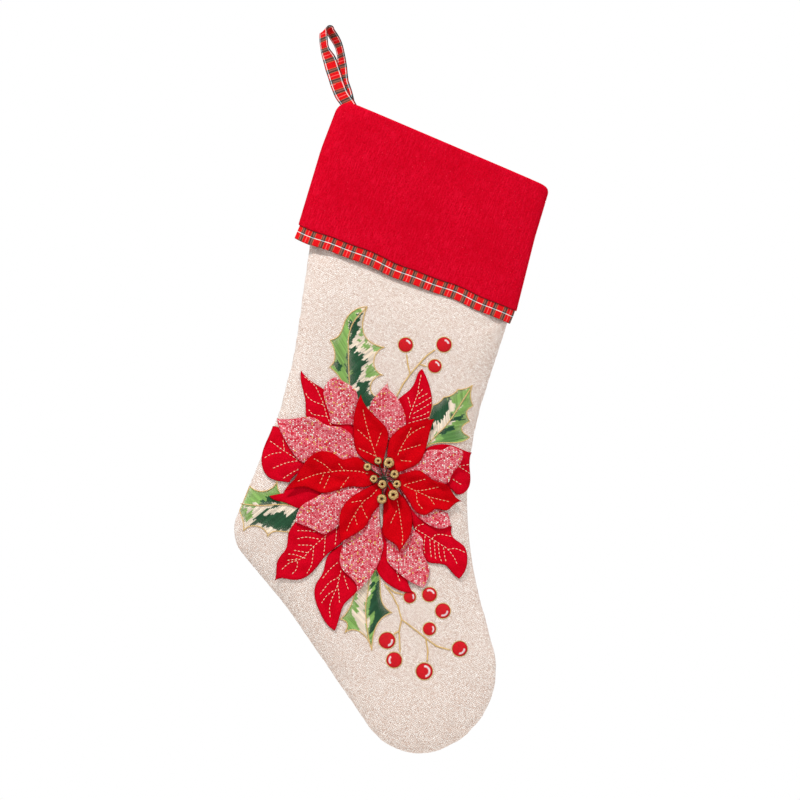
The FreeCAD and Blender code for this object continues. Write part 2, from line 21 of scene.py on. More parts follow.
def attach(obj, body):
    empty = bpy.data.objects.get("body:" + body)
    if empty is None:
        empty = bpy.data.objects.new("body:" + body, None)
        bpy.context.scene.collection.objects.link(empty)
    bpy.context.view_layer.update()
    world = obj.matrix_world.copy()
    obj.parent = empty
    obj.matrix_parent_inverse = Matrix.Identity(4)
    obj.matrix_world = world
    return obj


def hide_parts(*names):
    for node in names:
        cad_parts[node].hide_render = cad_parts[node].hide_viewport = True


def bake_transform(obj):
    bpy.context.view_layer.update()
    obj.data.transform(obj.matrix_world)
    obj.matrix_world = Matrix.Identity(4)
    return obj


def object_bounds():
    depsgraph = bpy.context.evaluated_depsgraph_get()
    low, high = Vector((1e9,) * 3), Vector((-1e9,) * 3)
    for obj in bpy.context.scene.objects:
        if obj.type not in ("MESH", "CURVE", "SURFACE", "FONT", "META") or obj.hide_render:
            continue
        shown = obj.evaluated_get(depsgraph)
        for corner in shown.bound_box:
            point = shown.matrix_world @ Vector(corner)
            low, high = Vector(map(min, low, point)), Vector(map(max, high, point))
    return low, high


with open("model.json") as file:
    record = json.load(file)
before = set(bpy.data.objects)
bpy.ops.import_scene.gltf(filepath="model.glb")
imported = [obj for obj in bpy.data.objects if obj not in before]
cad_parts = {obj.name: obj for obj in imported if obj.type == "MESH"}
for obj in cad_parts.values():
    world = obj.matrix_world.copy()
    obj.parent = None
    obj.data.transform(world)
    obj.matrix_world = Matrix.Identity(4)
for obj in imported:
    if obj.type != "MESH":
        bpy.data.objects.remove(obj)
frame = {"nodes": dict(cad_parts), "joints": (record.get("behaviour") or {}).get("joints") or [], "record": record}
cad_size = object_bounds()

MM = 0.001
NODES = frame["nodes"]
JOINTS = {joint["name"]: joint for joint in frame["joints"]}

# ---------------------------------------------------------------- the pattern's place

CUFF_HINGE_U = 95.0
ACROSS = -np.array(JOINTS["cuff_front_lift"]["axis"], float)
DOWN = np.array((ACROSS[2], 0, -ACROSS[0]))
CORNER = np.array(JOINTS["cuff_front_lift"]["pos_m"], float) * (1, 0, 1)
CORNER = CORNER - ACROSS * CUFF_HINGE_U * MM


def place(points):
    """Pattern points (u, v, y) in millimetres to the row frame in metres."""
    points = np.asarray(points, float)
    spread = points[:, :1] * ACROSS + points[:, 1:2] * DOWN + points[:, 2:] * (0, 1, 0)
    return CORNER + spread * MM


def pattern_of(points):
    """Row frame points in metres to pattern points in millimetres."""
    points = (np.asarray(points, float) - CORNER) / MM
    return np.column_stack([points @ ACROSS, points @ DOWN, points[:, 1]])


def vertex_values(mesh, key):
    """A three-part value, such as co or normal, of every point of a mesh."""
    values = np.zeros(len(mesh.vertices) * 3)
    mesh.vertices.foreach_get(key, values)
    return values.reshape(-1, 3)


def corner_points(mesh):
    """The index of the point at each face corner."""
    corners = np.zeros(len(mesh.loops), int)
    mesh.loops.foreach_get("vertex_index", corners)
    return corners


def node_points(name):
    return pattern_of(vertex_values(NODES[name].data, "co"))


# ---------------------------------------------------------------- outlines of CAD nodes

WELD = 2e-6
LEVEL = 2e-5


def chain(follows):
    """Closed loops from a table of each point's next point."""
    loops = []
    while follows:
        start = next(iter(follows))
        loop = [start]
        here = follows.pop(start)
        while here is not start and here in follows:
            loop.append(here)
            here = follows.pop(here)
        loops.append(loop)
    return loops


def face_loops(name, front=True):
    """Outlines (u, v) of the flat faces at a node's front, or at its seam side. The faces are
    taken in the mesh's own order, so that each outline starts at the same point every run."""
    mesh = bmesh.new()
    mesh.from_mesh(NODES[name].data)
    bmesh.ops.remove_doubles(mesh, verts=mesh.verts, dist=WELD)
    depths = [vert.co.y for vert in mesh.verts]
    level = min(depths) if front else max(depths)
    ordered = [f for f in mesh.faces if all(abs(v.co.y - level) < LEVEL for v in f.verts)]
    flat = set(ordered)
    follows = {}
    for face in ordered:
        for corner in face.loops:
            if not any(f in flat for f in corner.edge.link_faces if f is not face):
                follows[corner.vert] = corner.link_loop_next.vert
    loops = [pattern_of([v.co for v in loop])[:, :2] for loop in chain(follows)]
    mesh.free()
    return [loop for loop in loops if len(loop) > 2]


def islands(name):
    """Low and high corner, on the pattern, of each separate solid in a node."""
    mesh = bmesh.new()
    mesh.from_mesh(NODES[name].data)
    bmesh.ops.remove_doubles(mesh, verts=mesh.verts, dist=WELD)
    unseen = set(mesh.verts)
    found = []
    while unseen:
        group, front = [], [unseen.pop()]
        while front:
            vert = front.pop()
            group.append(vert.co[:])
            near = {edge.other_vert(vert) for edge in vert.link_edges} & unseen
            unseen -= near
            front.extend(near)
        points = pattern_of(group)
        found.append((points.min(0), points.max(0)))
    mesh.free()
    return sorted(found, key=lambda ends: tuple(ends[0]))


def widths(name, levels):
    """Left and right edge of a node at each pattern depth."""
    mesh = NODES[name].data
    points = node_points(name)
    ends = np.zeros(len(mesh.edges) * 2, int)
    mesh.edges.foreach_get("vertices", ends)
    a, b = points[ends[0::2]], points[ends[1::2]]
    left, right = [], []
    for level in levels:
        crossing = (a[:, 1] - level) * (b[:, 1] - level) <= 0
        p, q = a[crossing], b[crossing]
        fall = q[:, 1] - p[:, 1]
        share = np.where(abs(fall) > 1e-6, (level - p[:, 1]) / np.where(fall == 0, 1, fall), 0)
        u = p[:, 0] + np.clip(share, 0, 1) * (q[:, 0] - p[:, 0])
        left.append(u.min())
        right.append(u.max())
    return np.array(left), np.array(right)


# ---------------------------------------------------------------- flat geometry


def reach_along(path):
    """Distance from a path's start to each of its points."""
    steps = np.linalg.norm(np.diff(path, axis=0), axis=1)
    return np.concatenate([[0], np.cumsum(steps)])


def at_reach(path, reach, wanted):
    """Points of a path at the wanted distances from its start."""
    return np.column_stack([np.interp(wanted, reach, column) for column in path.T])


def circle(centre, radius, count):
    """Even points round a circle."""
    turn = np.arange(count) * 2 * math.pi / count
    return centre + radius * np.column_stack([np.cos(turn), np.sin(turn)])


def resample(loop, step, corner_angle=0.45):
    """Even points along a closed outline that keeps its corners."""
    loop = np.asarray(loop, float)
    before, after = loop - np.roll(loop, 1, 0), np.roll(loop, -1, 0) - loop
    turn = np.arctan2(
        before[:, 0] * after[:, 1] - before[:, 1] * after[:, 0], (before * after).sum(1)
    )
    corners = [i for i in range(len(loop)) if abs(turn[i]) > corner_angle] or [0]
    result = []
    for start, end in zip(corners, corners[1:] + [corners[0] + len(loop)]):
        run = np.array([loop[i % len(loop)] for i in range(start, end + 1)])
        reach = reach_along(run)
        count = max(1, round(reach[-1] / step))
        result.append(at_reach(run, reach, np.linspace(0, reach[-1], count + 1)[:-1]))
    return np.concatenate(result)


def smooth_path(points, step):
    """Even points along a smooth curve through the given points."""
    points = np.asarray(points, float)
    if len(points) > 2:
        before, after = 2 * points[0] - points[1], 2 * points[-1] - points[-2]
        padded = np.concatenate([[before], points, [after]])
        t = np.linspace(0, 1, 9)[:-1, None]
        runs = []
        for p0, p1, p2, p3 in zip(padded, padded[1:], padded[2:], padded[3:]):
            linear = (p2 - p0) * t
            square = (2 * p0 - 5 * p1 + 4 * p2 - p3) * t**2
            cube = (3 * p1 - p0 - 3 * p2 + p3) * t**3
            runs.append(p1 + (linear + square + cube) / 2)
        points = np.concatenate(runs + [points[-1:]])
    reach = reach_along(points)
    even = np.linspace(0, reach[-1], max(2, round(reach[-1] / step) + 1))
    return at_reach(points, reach, even)


def distance_to(points, path, closed=True):
    """Distance of each point to the nearest stretch of a path."""
    points, path = np.asarray(points, float)[:, :2], np.asarray(path, float)[:, :2]
    ends = np.roll(path, -1, 0) if closed else path[1:]
    starts = path if closed else path[:-1]
    way = ends - starts
    length = np.maximum((way**2).sum(1), 1e-12)
    nearest = np.full(len(points), np.inf)
    for start, run, square in zip(starts, way, length):
        share = np.clip(((points - start) @ run) / square, 0, 1)
        gap = points - start - share[:, None] * run
        np.minimum(nearest, (gap**2).sum(1), out=nearest)
    return np.sqrt(nearest)


def inside(points, loop):
    """Whether each point lies inside a closed outline."""
    x, y = points[:, 0], points[:, 1]
    result = np.zeros(len(points), bool)
    for (ax, ay), (bx, by) in zip(loop, np.roll(loop, -1, 0)):
        if ay != by:
            crosses = ((ay > y) != (by > y)) & (x < (bx - ax) * (y - ay) / (by - ay) + ax)
            result ^= crosses
    return result


def fill(loop, step, rings=(), edge_step=None):
    """Points and triangles that fill an outline: a hexagonal grid, and rings along the edge."""
    rim = resample(loop, edge_step or step)
    along = np.roll(rim, -1, 0) - np.roll(rim, 1, 0)
    normal = np.column_stack([-along[:, 1], along[:, 0]]) / np.linalg.norm(along, axis=1)[:, None]
    if inside(rim + normal * 1e-3, rim).mean() <= 0.5:
        normal = -normal
    groups = [rim]
    for depth in rings:
        ring = rim + normal * depth
        keep = inside(ring, rim) & (distance_to(ring, rim) > 0.93 * depth)
        groups.append(ring[keep])
    low, high = rim.min(0), rim.max(0)
    rows = np.arange(low[1], high[1], step * math.sqrt(0.75))
    grid = [
        (u, v)
        for index, v in enumerate(rows)
        for u in np.arange(low[0] + (index % 2) * step / 2, high[0], step)
    ]
    grid = np.array(grid).reshape(-1, 2)
    grid = grid[inside(grid, rim)]
    clear = (max(rings) if rings else 0) + 0.45 * step
    groups.append(grid[distance_to(grid, rim) > clear])
    points = np.concatenate(groups)
    edges = [(i, (i + 1) % len(rim)) for i in range(len(rim))]
    made = delaunay_2d_cdt([Vector(p) for p in points], edges, [], 1, 1e-5)
    return np.array([v[:] for v in made[0]]), [tuple(face) for face in made[2]]


def rounded(distance, radius):
    """Height from 0 to 1 of a quarter round that starts at an edge."""
    return np.sqrt(np.clip(1 - (1 - np.clip(distance / radius, 0, 1)) ** 2, 0, 1))


def smooth_step(x):
    x = np.clip(x, 0, 1)
    return x * x * (3 - 2 * x)


# ---------------------------------------------------------------- making pieces


class Bundle:
    """Points, faces, texture places and tints of one piece, collected before its mesh."""

    def __init__(self):
        self.points, self.faces, self.places, self.tints = [], [], [], []
        self.count = 0

    def add(self, points, faces, places=None, tint=(1, 1, 1)):
        points = np.asarray(points, float)
        places = points[:, :2] if places is None else np.asarray(places, float)
        tint = np.broadcast_to(np.asarray(tint, float), (len(points), 3))
        self.points.append(points)
        self.places.append(places)
        self.tints.append(tint)
        self.faces.extend([tuple(int(i) + self.count for i in face) for face in faces])
        self.count += len(points)

    def make(self, name, material, replaces=(), slot=None):
        points = np.concatenate(self.points)
        return new_piece(
            name, place(points), self.faces, np.concatenate(self.places),
            np.concatenate(self.tints), material, replaces,
        )


def new_piece(name, positions, faces, places, tints, material, replaces=()):
    """One smooth-shaded mesh with its texture places as UVs, in millimetres, and its tints."""
    mesh = bpy.data.meshes.new(name)
    mesh.from_pydata(positions.tolist(), [], faces)
    layer = mesh.uv_layers.new(name="cloth")
    at_corners = np.asarray(places)[corner_points(mesh)]
    layer.data.foreach_set("uv", at_corners.astype(np.float32).ravel())
    colours = mesh.color_attributes.new("tint", "FLOAT_COLOR", "POINT")
    colours.data.foreach_set(
        "color", np.column_stack([tints, np.ones(len(tints))]).astype(np.float32).ravel()
    )
    mesh.shade_smooth()
    mesh.validate()
    mesh.materials.append(MATERIALS[material])
    piece = bpy.data.objects.new(name, mesh)
    bpy.context.scene.collection.objects.link(piece)
    if replaces:
        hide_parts(*replaces)
    return piece


def sew_on(bundle, name, material, replaces=(), slot=None):
    """Makes a bundle's piece and sews it to the front of the stocking."""
    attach(bundle.make(name, material, replaces, slot), "front")


def grid_faces(rows, width, ring=False, closed=False):
    """Quads between neighbouring rows of points. ring joins each row's two ends, and closed joins
    the last row to the first."""
    faces = []
    for i in range(rows if closed else rows - 1):
        j = (i + 1) % rows
        for k in range(width if ring else width - 1):
            m = (k + 1) % width
            faces.append((i * width + k, i * width + m, j * width + m, j * width + k))
    return faces


def only_used(faces):
    """The points that faces use, and the faces renumbered to those points alone."""
    used = np.unique(np.array([i for face in faces for i in face]))
    renumber = {int(old): new for new, old in enumerate(used)}
    return used, [tuple(renumber[int(i)] for i in face) for face in faces]


def closed_sheet(bundle, loop, step, shape, rings=(0.3, 0.8), edge_step=None, tint=(1, 1, 1)):
    """A closed flat solid over an outline. shape(points) gives its underside and its top. The tint
    may be a function of the points too."""
    flat, triangles = fill(loop, step, rings, edge_step)
    under, over = shape(flat)
    on_rim = distance_to(flat, resample(loop, edge_step or step)) < 1e-3
    count = len(flat)
    lower = np.arange(count) + count
    lower[on_rim] = np.arange(count)[on_rim]
    over = np.where(on_rim, (over + under) / 2, over)
    points = np.concatenate([np.column_stack([flat, -over]), np.column_stack([flat, -under])])
    faces = [tri if is_front_facing(flat, tri) else tri[::-1] for tri in triangles]
    faces += [tuple(lower[i] for i in reversed(tri)) for tri in faces]
    used, faces = only_used(faces)
    if callable(tint):
        tint = np.tile(tint(flat), (2, 1))[used]
    bundle.add(points[used], faces, tint=tint)


def is_front_facing(flat, tri):
    """Whether a triangle's normal, once placed, points to the front."""
    (au, av), (bu, bv), (cu, cv) = flat[list(tri)]
    return (bu - au) * (cv - av) - (bv - av) * (cu - au) < 0


def sweep(path, radius, sides=8, closed=False, flatness=1.0):
    """A tube along a pattern path (u, v, y), with its places along and round it."""
    path = np.asarray(path, float)
    count = len(path)
    radius = np.broadcast_to(radius, count)
    if closed:
        way = np.roll(path, -1, 0) - np.roll(path, 1, 0)
    else:
        way = np.gradient(path, axis=0)
    way /= np.maximum(np.linalg.norm(way, axis=1), 1e-9)[:, None]
    side = np.cross(way, (0, 0, 1.0))
    side /= np.maximum(np.linalg.norm(side, axis=1), 1e-9)[:, None]
    rise = np.cross(side, way)
    along = reach_along(path)
    points, places = [], []
    for k in range(sides):
        angle = 2 * math.pi * k / sides
        offset = side * math.cos(angle) + rise * math.sin(angle) * flatness
        points.append(path + offset * radius[:, None])
        places.append(np.column_stack([along, np.full(count, k / sides)]))
    points, places = np.stack(points, 1).reshape(-1, 3), np.stack(places, 1).reshape(-1, 2)
    faces = grid_faces(count, sides, ring=True, closed=closed)
    if not closed:
        faces.append(tuple(reversed(range(sides))))
        faces.append(tuple((count - 1) * sides + k for k in range(sides)))
    return points, faces, places


# ---------------------------------------------------------------- materials


def srgb(red, green, blue):
    """An 8-bit screen colour as linear light."""
    values = [channel / 255 for channel in (red, green, blue)]
    return [v / 12.92 if v <= 0.04045 else ((v + 0.055) / 1.055) ** 2.4 for v in values]


def rgba(red, green, blue):
    return (*srgb(red, green, blue), 1)


class Shader:
    """A material under construction."""

    def __init__(self, name, roughness=0.8, sheen=0.0, specular=0.3):
        self.material = bpy.data.materials.new(name)
        self.material.use_nodes = True
        self.tree = self.material.node_tree
        self.surface = self.tree.nodes["Principled BSDF"]
        self.set("Roughness", roughness)
        self.set("Sheen Weight", sheen)
        self.set("Specular IOR Level", specular)

    def feed(self, socket, value):
        if isinstance(value, bpy.types.NodeSocket):
            self.tree.links.new(value, socket)
        else:
            socket.default_value = value

    def set(self, name, value):
        self.feed(self.surface.inputs[name], value)

    def node(self, kind, inputs=None, **settings):
        made = self.tree.nodes.new("ShaderNode" + kind)
        for key, value in settings.items():
            setattr(made, key, value)
        for key, value in (inputs or {}).items():
            self.feed(made.inputs[key], value)
        return made

    def math(self, operation, a, b=0.0, c=0.0):
        made = self.node("Math", {0: a, 1: b, 2: c}, operation=operation)
        return made.outputs[0]

    def mix(self, share, a, b, blend="MIX"):
        made = self.node("Mix", {0: share, 6: a, 7: b}, data_type="RGBA", blend_type=blend)
        return made.outputs[2]

    def ramp(self, value, low, high):
        """0 below low, 1 above high, straight between."""
        made = self.node(
            "MapRange", {"Value": value, "From Min": low, "From Max": high}, clamp=True
        )
        return made.outputs[0]

    def over(self, colour, value, low, high, paint, share=1.0):
        """Paint laid over a colour where a value is past low, in full where it is past high."""
        cover = self.ramp(value, low, high)
        if share < 1:
            cover = self.math("MULTIPLY", cover, share)
        return self.mix(cover, colour, rgba(*paint))

    def places(self):
        """The piece's texture place as two sockets, in millimetres."""
        uv = self.node("UVMap", uv_map="cloth").outputs[0]
        split = self.node("SeparateXYZ", {0: uv})
        return split.outputs[0], split.outputs[1]

    def tint(self):
        return self.node("Attribute", attribute_name="tint").outputs["Color"]

    def noise(self, x, y, scale_x, scale_y, detail=2.0, seed=0.0):
        """Noise over two sockets, each in cells per millimetre."""
        across, down = self.math("MULTIPLY", x, scale_x), self.math("MULTIPLY", y, scale_y)
        vector = self.node("CombineXYZ", {0: across, 1: down, 2: seed})
        made = self.node("TexNoise", {"Vector": vector.outputs[0], "Scale": 1.0, "Detail": detail})
        return made.outputs[0]

    def bump(self, height, distance_mm, strength=1.0, after=None):
        inputs = {"Height": height, "Distance": distance_mm * MM, "Strength": strength}
        if after is not None:
            inputs["Normal"] = after
        normal = self.node("Bump", inputs).outputs[0]
        self.set("Normal", normal)
        return normal

    def turned(self, x, y, angle):
        """Two sockets turned by an angle."""
        c, s = math.cos(angle), math.sin(angle)
        along = self.math("MULTIPLY_ADD", x, c, self.math("MULTIPLY", y, -s))
        across = self.math("MULTIPLY_ADD", x, s, self.math("MULTIPLY", y, c))
        return along, across

    def ridges(self, coordinate, pitch):
        """A rounded ridge across each pitch."""
        turn = self.math("MULTIPLY", coordinate, math.pi / pitch)
        return self.math("ABSOLUTE", self.math("SINE", turn))


def woven(shader, x, y, pitch):
    """Height of a plain weave and its streaky threads, over two sockets in millimetres."""
    bend = shader.noise(x, y, 0.12, 0.12, 1.0, 7.0)
    x = shader.math("MULTIPLY_ADD", bend, 1.6 * pitch, x)
    y = shader.math("MULTIPLY_ADD", bend, -1.2 * pitch, y)
    height = shader.math("MULTIPLY", shader.ridges(x, pitch), shader.ridges(y, pitch))
    warp_slub = shader.noise(x, y, 1.1 / pitch, 0.3 / pitch, 2.0, 1.0)
    weft_slub = shader.noise(x, y, 0.3 / pitch, 1.1 / pitch, 2.0, 4.0)
    return height, warp_slub, weft_slub


LINEN_THREAD = 1.4
LINEN_LEAN = math.radians(-7)


def linen_material():
    """Plain weave of uneven flax threads, each with its own tone, which are thick in places."""
    shader = Shader("linen", roughness=0.92, sheen=0.05, specular=0.06)
    x, y = shader.turned(*shader.places(), LINEN_LEAN)
    drift = shader.noise(x, y, 0.05, 0.05, 1.0, 7.0)
    x = shader.math("MULTIPLY_ADD", drift, 3.0, x)
    y = shader.math("MULTIPLY_ADD", drift, -3.0, y)
    warp = shader.math("FLOOR", shader.math("MULTIPLY", x, 1 / LINEN_THREAD))
    weft = shader.math("FLOOR", shader.math("MULTIPLY", y, 1 / LINEN_THREAD))
    weft_on_top = shader.math("FLOORED_MODULO", shader.math("ADD", warp, weft), 2.0)
    warp_tone = shader.noise(warp, y, 3.7, 0.5, 2.0, 1.0)
    weft_tone = shader.noise(x, weft, 0.5, 3.7, 2.0, 4.0)
    contrast = shader.math("SUBTRACT", weft_tone, warp_tone)
    tone = shader.math("MULTIPLY_ADD", weft_on_top, contrast, warp_tone)
    upright = shader.noise(x, y, 0.36, 0.05, 2.0, 21.0)
    level = shader.noise(x, y, 0.05, 0.36, 2.0, 22.0)
    speckle = shader.noise(x, y, 0.95, 0.95, 2.0, 9.0)
    colour = shader.over(rgba(208, 184, 171), tone, 0.3, 0.68, (255, 250, 244))
    colour = shader.over(colour, speckle, 0.54, 0.66, (255, 252, 247))
    colour = shader.over(colour, speckle, 0.44, 0.34, (186, 158, 142))
    for streak in (upright, level):
        colour = shader.over(colour, streak, 0.55, 0.35, (216, 192, 176), share=0.2)
    # Darker in the dips between the threads: painted shade.
    rise = shader.math("MULTIPLY", shader.ridges(x, LINEN_THREAD), shader.ridges(y, LINEN_THREAD))
    colour = shader.over(colour, rise, 0.26, 0.0, (192, 162, 146))
    shader.set("Base Color", colour)
    shader.bump(shader.math("MULTIPLY_ADD", tone, 1.2, rise), 0.3, 0.8)
    return shader.material


def lining_material():
    shader = Shader("lining_cloth", roughness=0.85, sheen=0.1, specular=0.2)
    x, y = shader.places()
    height, warp, weft = woven(shader, x, y, 0.5)
    colour = shader.over(rgba(222, 212, 192), warp, 0.3, 0.7, (240, 232, 216))
    colour = shader.mix(shader.math("MULTIPLY", weft, 0.3), colour, rgba(230, 220, 202))
    shader.set("Base Color", colour)
    shader.bump(height, 0.1, 0.6)
    return shader.material


def cuff_material():
    """Brushed cotton: a soft nap in fine rows, with paler lint on it."""
    shader = Shader("red_cuff_cloth", roughness=0.92, specular=0.03)
    x, y = shader.places()
    height, _, _ = woven(shader, x, y, 0.6)
    cloud = shader.noise(x, y, 0.035, 0.035, 4.0, 3.0)
    grain = shader.noise(x, y, 0.85, 0.6, 3.0, 5.0)
    rows = shader.noise(x, y, 0.9, 0.12, 2.0, 15.0)
    lint = shader.noise(x, y, 0.8, 0.8, 1.0, 11.0)
    colour = shader.over(rgba(190, 0, 22), grain, 0.3, 0.7, (226, 6, 42))
    colour = shader.over(colour, rows, 0.45, 0.75, (230, 14, 50))
    colour = shader.over(colour, cloud, 0.35, 0.8, (200, 0, 26), share=0.7)
    colour = shader.over(colour, lint, 0.68, 0.8, (238, 60, 84), share=0.6)
    shader.set("Base Color", colour)
    shader.bump(shader.math("MULTIPLY_ADD", grain, 1.6, height), 0.25, 0.9)
    return shader.material


def felt_material(name, deep, bright):
    """Pressed felt with a short nap and a few dark pores."""
    shader = Shader(name, roughness=0.95, specular=0.03)
    x, y = shader.places()
    fuzz = shader.noise(x, y, 0.9, 0.9, 4.0, 1.0)
    cloud = shader.noise(x, y, 0.09, 0.09, 2.0, 2.0)
    pores = shader.noise(x, y, 0.7, 0.7, 2.0, 6.0)
    colour = shader.over(rgba(*deep), fuzz, 0.3, 0.7, bright)
    colour = shader.over(colour, cloud, 0.45, 0.75, deep)
    colour = shader.over(colour, pores, 0.38, 0.28, (140, 0, 14), share=0.5)
    # The piece's tint multiplies in; on the petals it carries their painted edge shade.
    shader.set("Base Color", shader.mix(1.0, colour, shader.tint(), "MULTIPLY"))
    lumps = shader.math("MULTIPLY_ADD", cloud, 1.5, fuzz)
    shader.bump(lumps, 0.3, 0.8)
    return shader.material


TWEED_ROW, TWEED_STITCH = 1.3, 1.5
TARTAN_REPEAT = 18.0
RIBBON_WIDTH = 12.0


def tweed_material():
    """Short pale loops in upright rows, each row half a loop off the last, with dark red between them as painted
    shade.
    """
    shader = Shader("pink_tweed", roughness=0.8, sheen=0.1, specular=0.2)
    place_in_row = shader.node("TexCoord").outputs["Object"]
    split = shader.node("SeparateXYZ", {0: place_in_row})
    x = shader.math("MULTIPLY", split.outputs[0], 1 / MM)
    z = shader.math("MULTIPLY", split.outputs[2], 1 / MM)
    drift = shader.noise(x, z, 0.1, 0.1, 1.0)
    x = shader.math("MULTIPLY_ADD", drift, 1.6, x)
    row = shader.math("FLOOR", shader.math("MULTIPLY", x, 1 / TWEED_ROW))
    uneven = shader.noise(row, z, 3.7, 0.2, 1.0, 8.0)
    step = shader.math("MULTIPLY_ADD", row, 0.5, shader.math("MULTIPLY", z, 1 / TWEED_STITCH))
    step = shader.math("ADD", step, uneven)
    cell = shader.node("CombineXYZ", {0: row, 1: shader.math("FLOOR", step), 2: 0.0})
    pick = shader.node("TexWhiteNoise", {"Vector": cell.outputs[0]}, noise_dimensions="3D").outputs[0]
    colours = shader.node("ValToRGB", {"Fac": pick})
    stops = [
        (0.0, (214, 44, 66)), (0.14, (234, 112, 126)), (0.5, (244, 150, 158)),
        (0.76, (252, 200, 198)), (0.9, (255, 240, 232)), (0.96, (242, 196, 122)),
    ]
    ramp = colours.color_ramp
    ramp.interpolation = "CONSTANT"
    for index, (position, colour) in enumerate(stops):
        stop = ramp.elements[index] if index < 2 else ramp.elements.new(position)
        stop.position = position
        stop.color = rgba(*colour)
    # The dark red in the dips between the loops is painted shade.
    loop = shader.math("MULTIPLY", shader.ridges(x, TWEED_ROW), shader.ridges(step, 1.0))
    shader.set("Base Color", shader.over(colours.outputs[0], loop, 0.36, 0.1, (184, 22, 44)))
    shader.bump(loop, 0.45, 1.0)
    return shader.material


def thread_material(name, colour=None, shadow=(0.62, 0.58, 0.55), roughness=0.5, pitch=0.9):
    """Twisted thread. Its colour is the piece's tint unless one is given."""
    shader = Shader(name, roughness=roughness, specular=0.25)
    x, y = shader.places()
    twist = shader.math("MULTIPLY_ADD", x, 1 / pitch, y)
    strand = shader.ridges(twist, 1.0)
    base = rgba(*colour) if colour else shader.tint()
    shade = shader.mix(1.0, base, (*shadow, 1), "MULTIPLY")
    shader.set("Base Color", shader.mix(shader.ramp(strand, 0.15, 0.75), shade, base))
    shader.bump(strand, 0.15, 0.7)
    return shader.material


def tartan_material(name, white_lines):
    """Woven tartan ribbon: places run along and across it, in millimetres. Each repeat holds a
    pair of dark bands, and white lines run along the ribbon."""
    shader = Shader(name, roughness=0.7, specular=0.12)
    along, across = shader.places()

    def stripe(coordinate, centre, width):
        gap = shader.math("ABSOLUTE", shader.math("SUBTRACT", coordinate, centre))
        return shader.ramp(gap, width / 2 + 0.08, width / 2 - 0.08)

    band, dark = rgba(92, 84, 74), rgba(34, 32, 34)
    orange, white, pink = rgba(214, 120, 78), rgba(246, 226, 220), rgba(250, 96, 96)
    repeat = shader.math("PINGPONG", along, TARTAN_REPEAT / 2)
    weave = shader.noise(along, across, 2.2, 2.2, 1.0)
    colour = shader.over(rgba(214, 2, 14), weave, 0.3, 0.75, (236, 8, 20))
    for centre, width, shade, share in (
        (4.4, 3.2, band, 0.88), (4.9, 0.8, rgba(158, 104, 84), 0.7), (3.7, 0.8, dark, 0.7),
        (5.7, 0.6, dark, 0.5), (6.3, 0.5, orange, 0.55), (2.6, 0.4, orange, 0.4),
        (0.0, 0.7, pink, 0.9),
    ):
        strength = shader.math("MULTIPLY", stripe(repeat, centre, width), share)
        colour = shader.mix(strength, colour, shade)
    in_band = stripe(repeat, 4.5, 3.2)
    for place_across in white_lines:
        beside = stripe(across, place_across - 0.75, 0.6)
        beside = shader.math("MULTIPLY", beside, shader.math("MULTIPLY_ADD", in_band, 0.6, 0.35))
        colour = shader.mix(beside, colour, dark)
        line = shader.mix(in_band, white, rgba(176, 204, 210))
        colour = shader.mix(stripe(across, place_across, 0.62), colour, line)
    # Dark lines along both edges: on the loop, the ribbon's own selvage; on the trim, whose places across start at
    # the hem, the line at 0 is painted shadow under the hem.
    for edge in (0.0, RIBBON_WIDTH):
        colour = shader.mix(stripe(across, edge, 0.9), colour, rgba(52, 46, 44))
    shader.set("Base Color", colour)
    twill = shader.ridges(shader.math("ADD", along, across), 0.45)
    shader.bump(twill, 0.12, 0.7)
    return shader.material


def bead_material():
    """Metal thread wound into a knot, with brown between the turns as painted shade."""
    shader = Shader("gold_bead", roughness=0.35, specular=0.5)
    x, y = shader.places()
    turns = shader.ridges(shader.math("MULTIPLY_ADD", y, 0.35, x), 0.75)
    specks = shader.noise(x, y, 1.3, 1.3, 2.0, 5.0)
    # The brown where the turns dip is painted shade.
    colour = shader.over(rgba(150, 104, 48), turns, 0.1, 0.7, (248, 214, 144))
    colour = shader.over(colour, specks, 0.58, 0.68, (214, 122, 44))
    colour = shader.over(colour, specks, 0.4, 0.32, (96, 84, 40))
    shader.set("Base Color", colour)
    shader.set("Metallic", 0.3)
    shader.bump(turns, 0.3, 0.9)
    return shader.material


MATERIALS = {
    "linen": linen_material(),
    "lining_cloth": lining_material(),
    "red_cuff_cloth": cuff_material(),
    "tartan_ribbon": tartan_material("tartan_ribbon", (1.5, RIBBON_WIDTH - 1.5)),
    "tartan_trim": tartan_material("tartan_trim", (5.4,)),
    "crimson_felt": felt_material("crimson_felt", (182, 0, 20), (216, 6, 36)),
    "pink_tweed": tweed_material(),
    "red_felt": felt_material("red_felt", (178, 0, 8), (210, 4, 20)),
    "green_embroidery": thread_material("green_embroidery", roughness=0.7, pitch=1.4),
    "berry_embroidery": thread_material("berry_embroidery", roughness=0.8, pitch=0.8),
    "gold_thread": thread_material("gold_thread", (232, 198, 132), (0.42, 0.32, 0.18), 0.45, 1.5),
    "base_petal_veins": thread_material("cream_thread", (255, 226, 194), (0.7, 0.45, 0.35), 0.5, 1.2),
    "red_petal_veins": thread_material("warm_thread", (244, 196, 150), (0.7, 0.45, 0.35), 0.5, 1.2),
    "gold_bead": bead_material(),
    "stamen_green_thread": thread_material("stamen_green_thread", (34, 62, 40), pitch=0.7),
}

# ---------------------------------------------------------------- the leg

PANEL_STEP = 5.0
MOUTH_TOP = 5.0
FACING_DEPTH = node_points("mouth_facing_front")[:, 1].max()
LEG_DEPTH = -node_points("leg_front")[:, 2].min()
LINING_GAP = 1.5

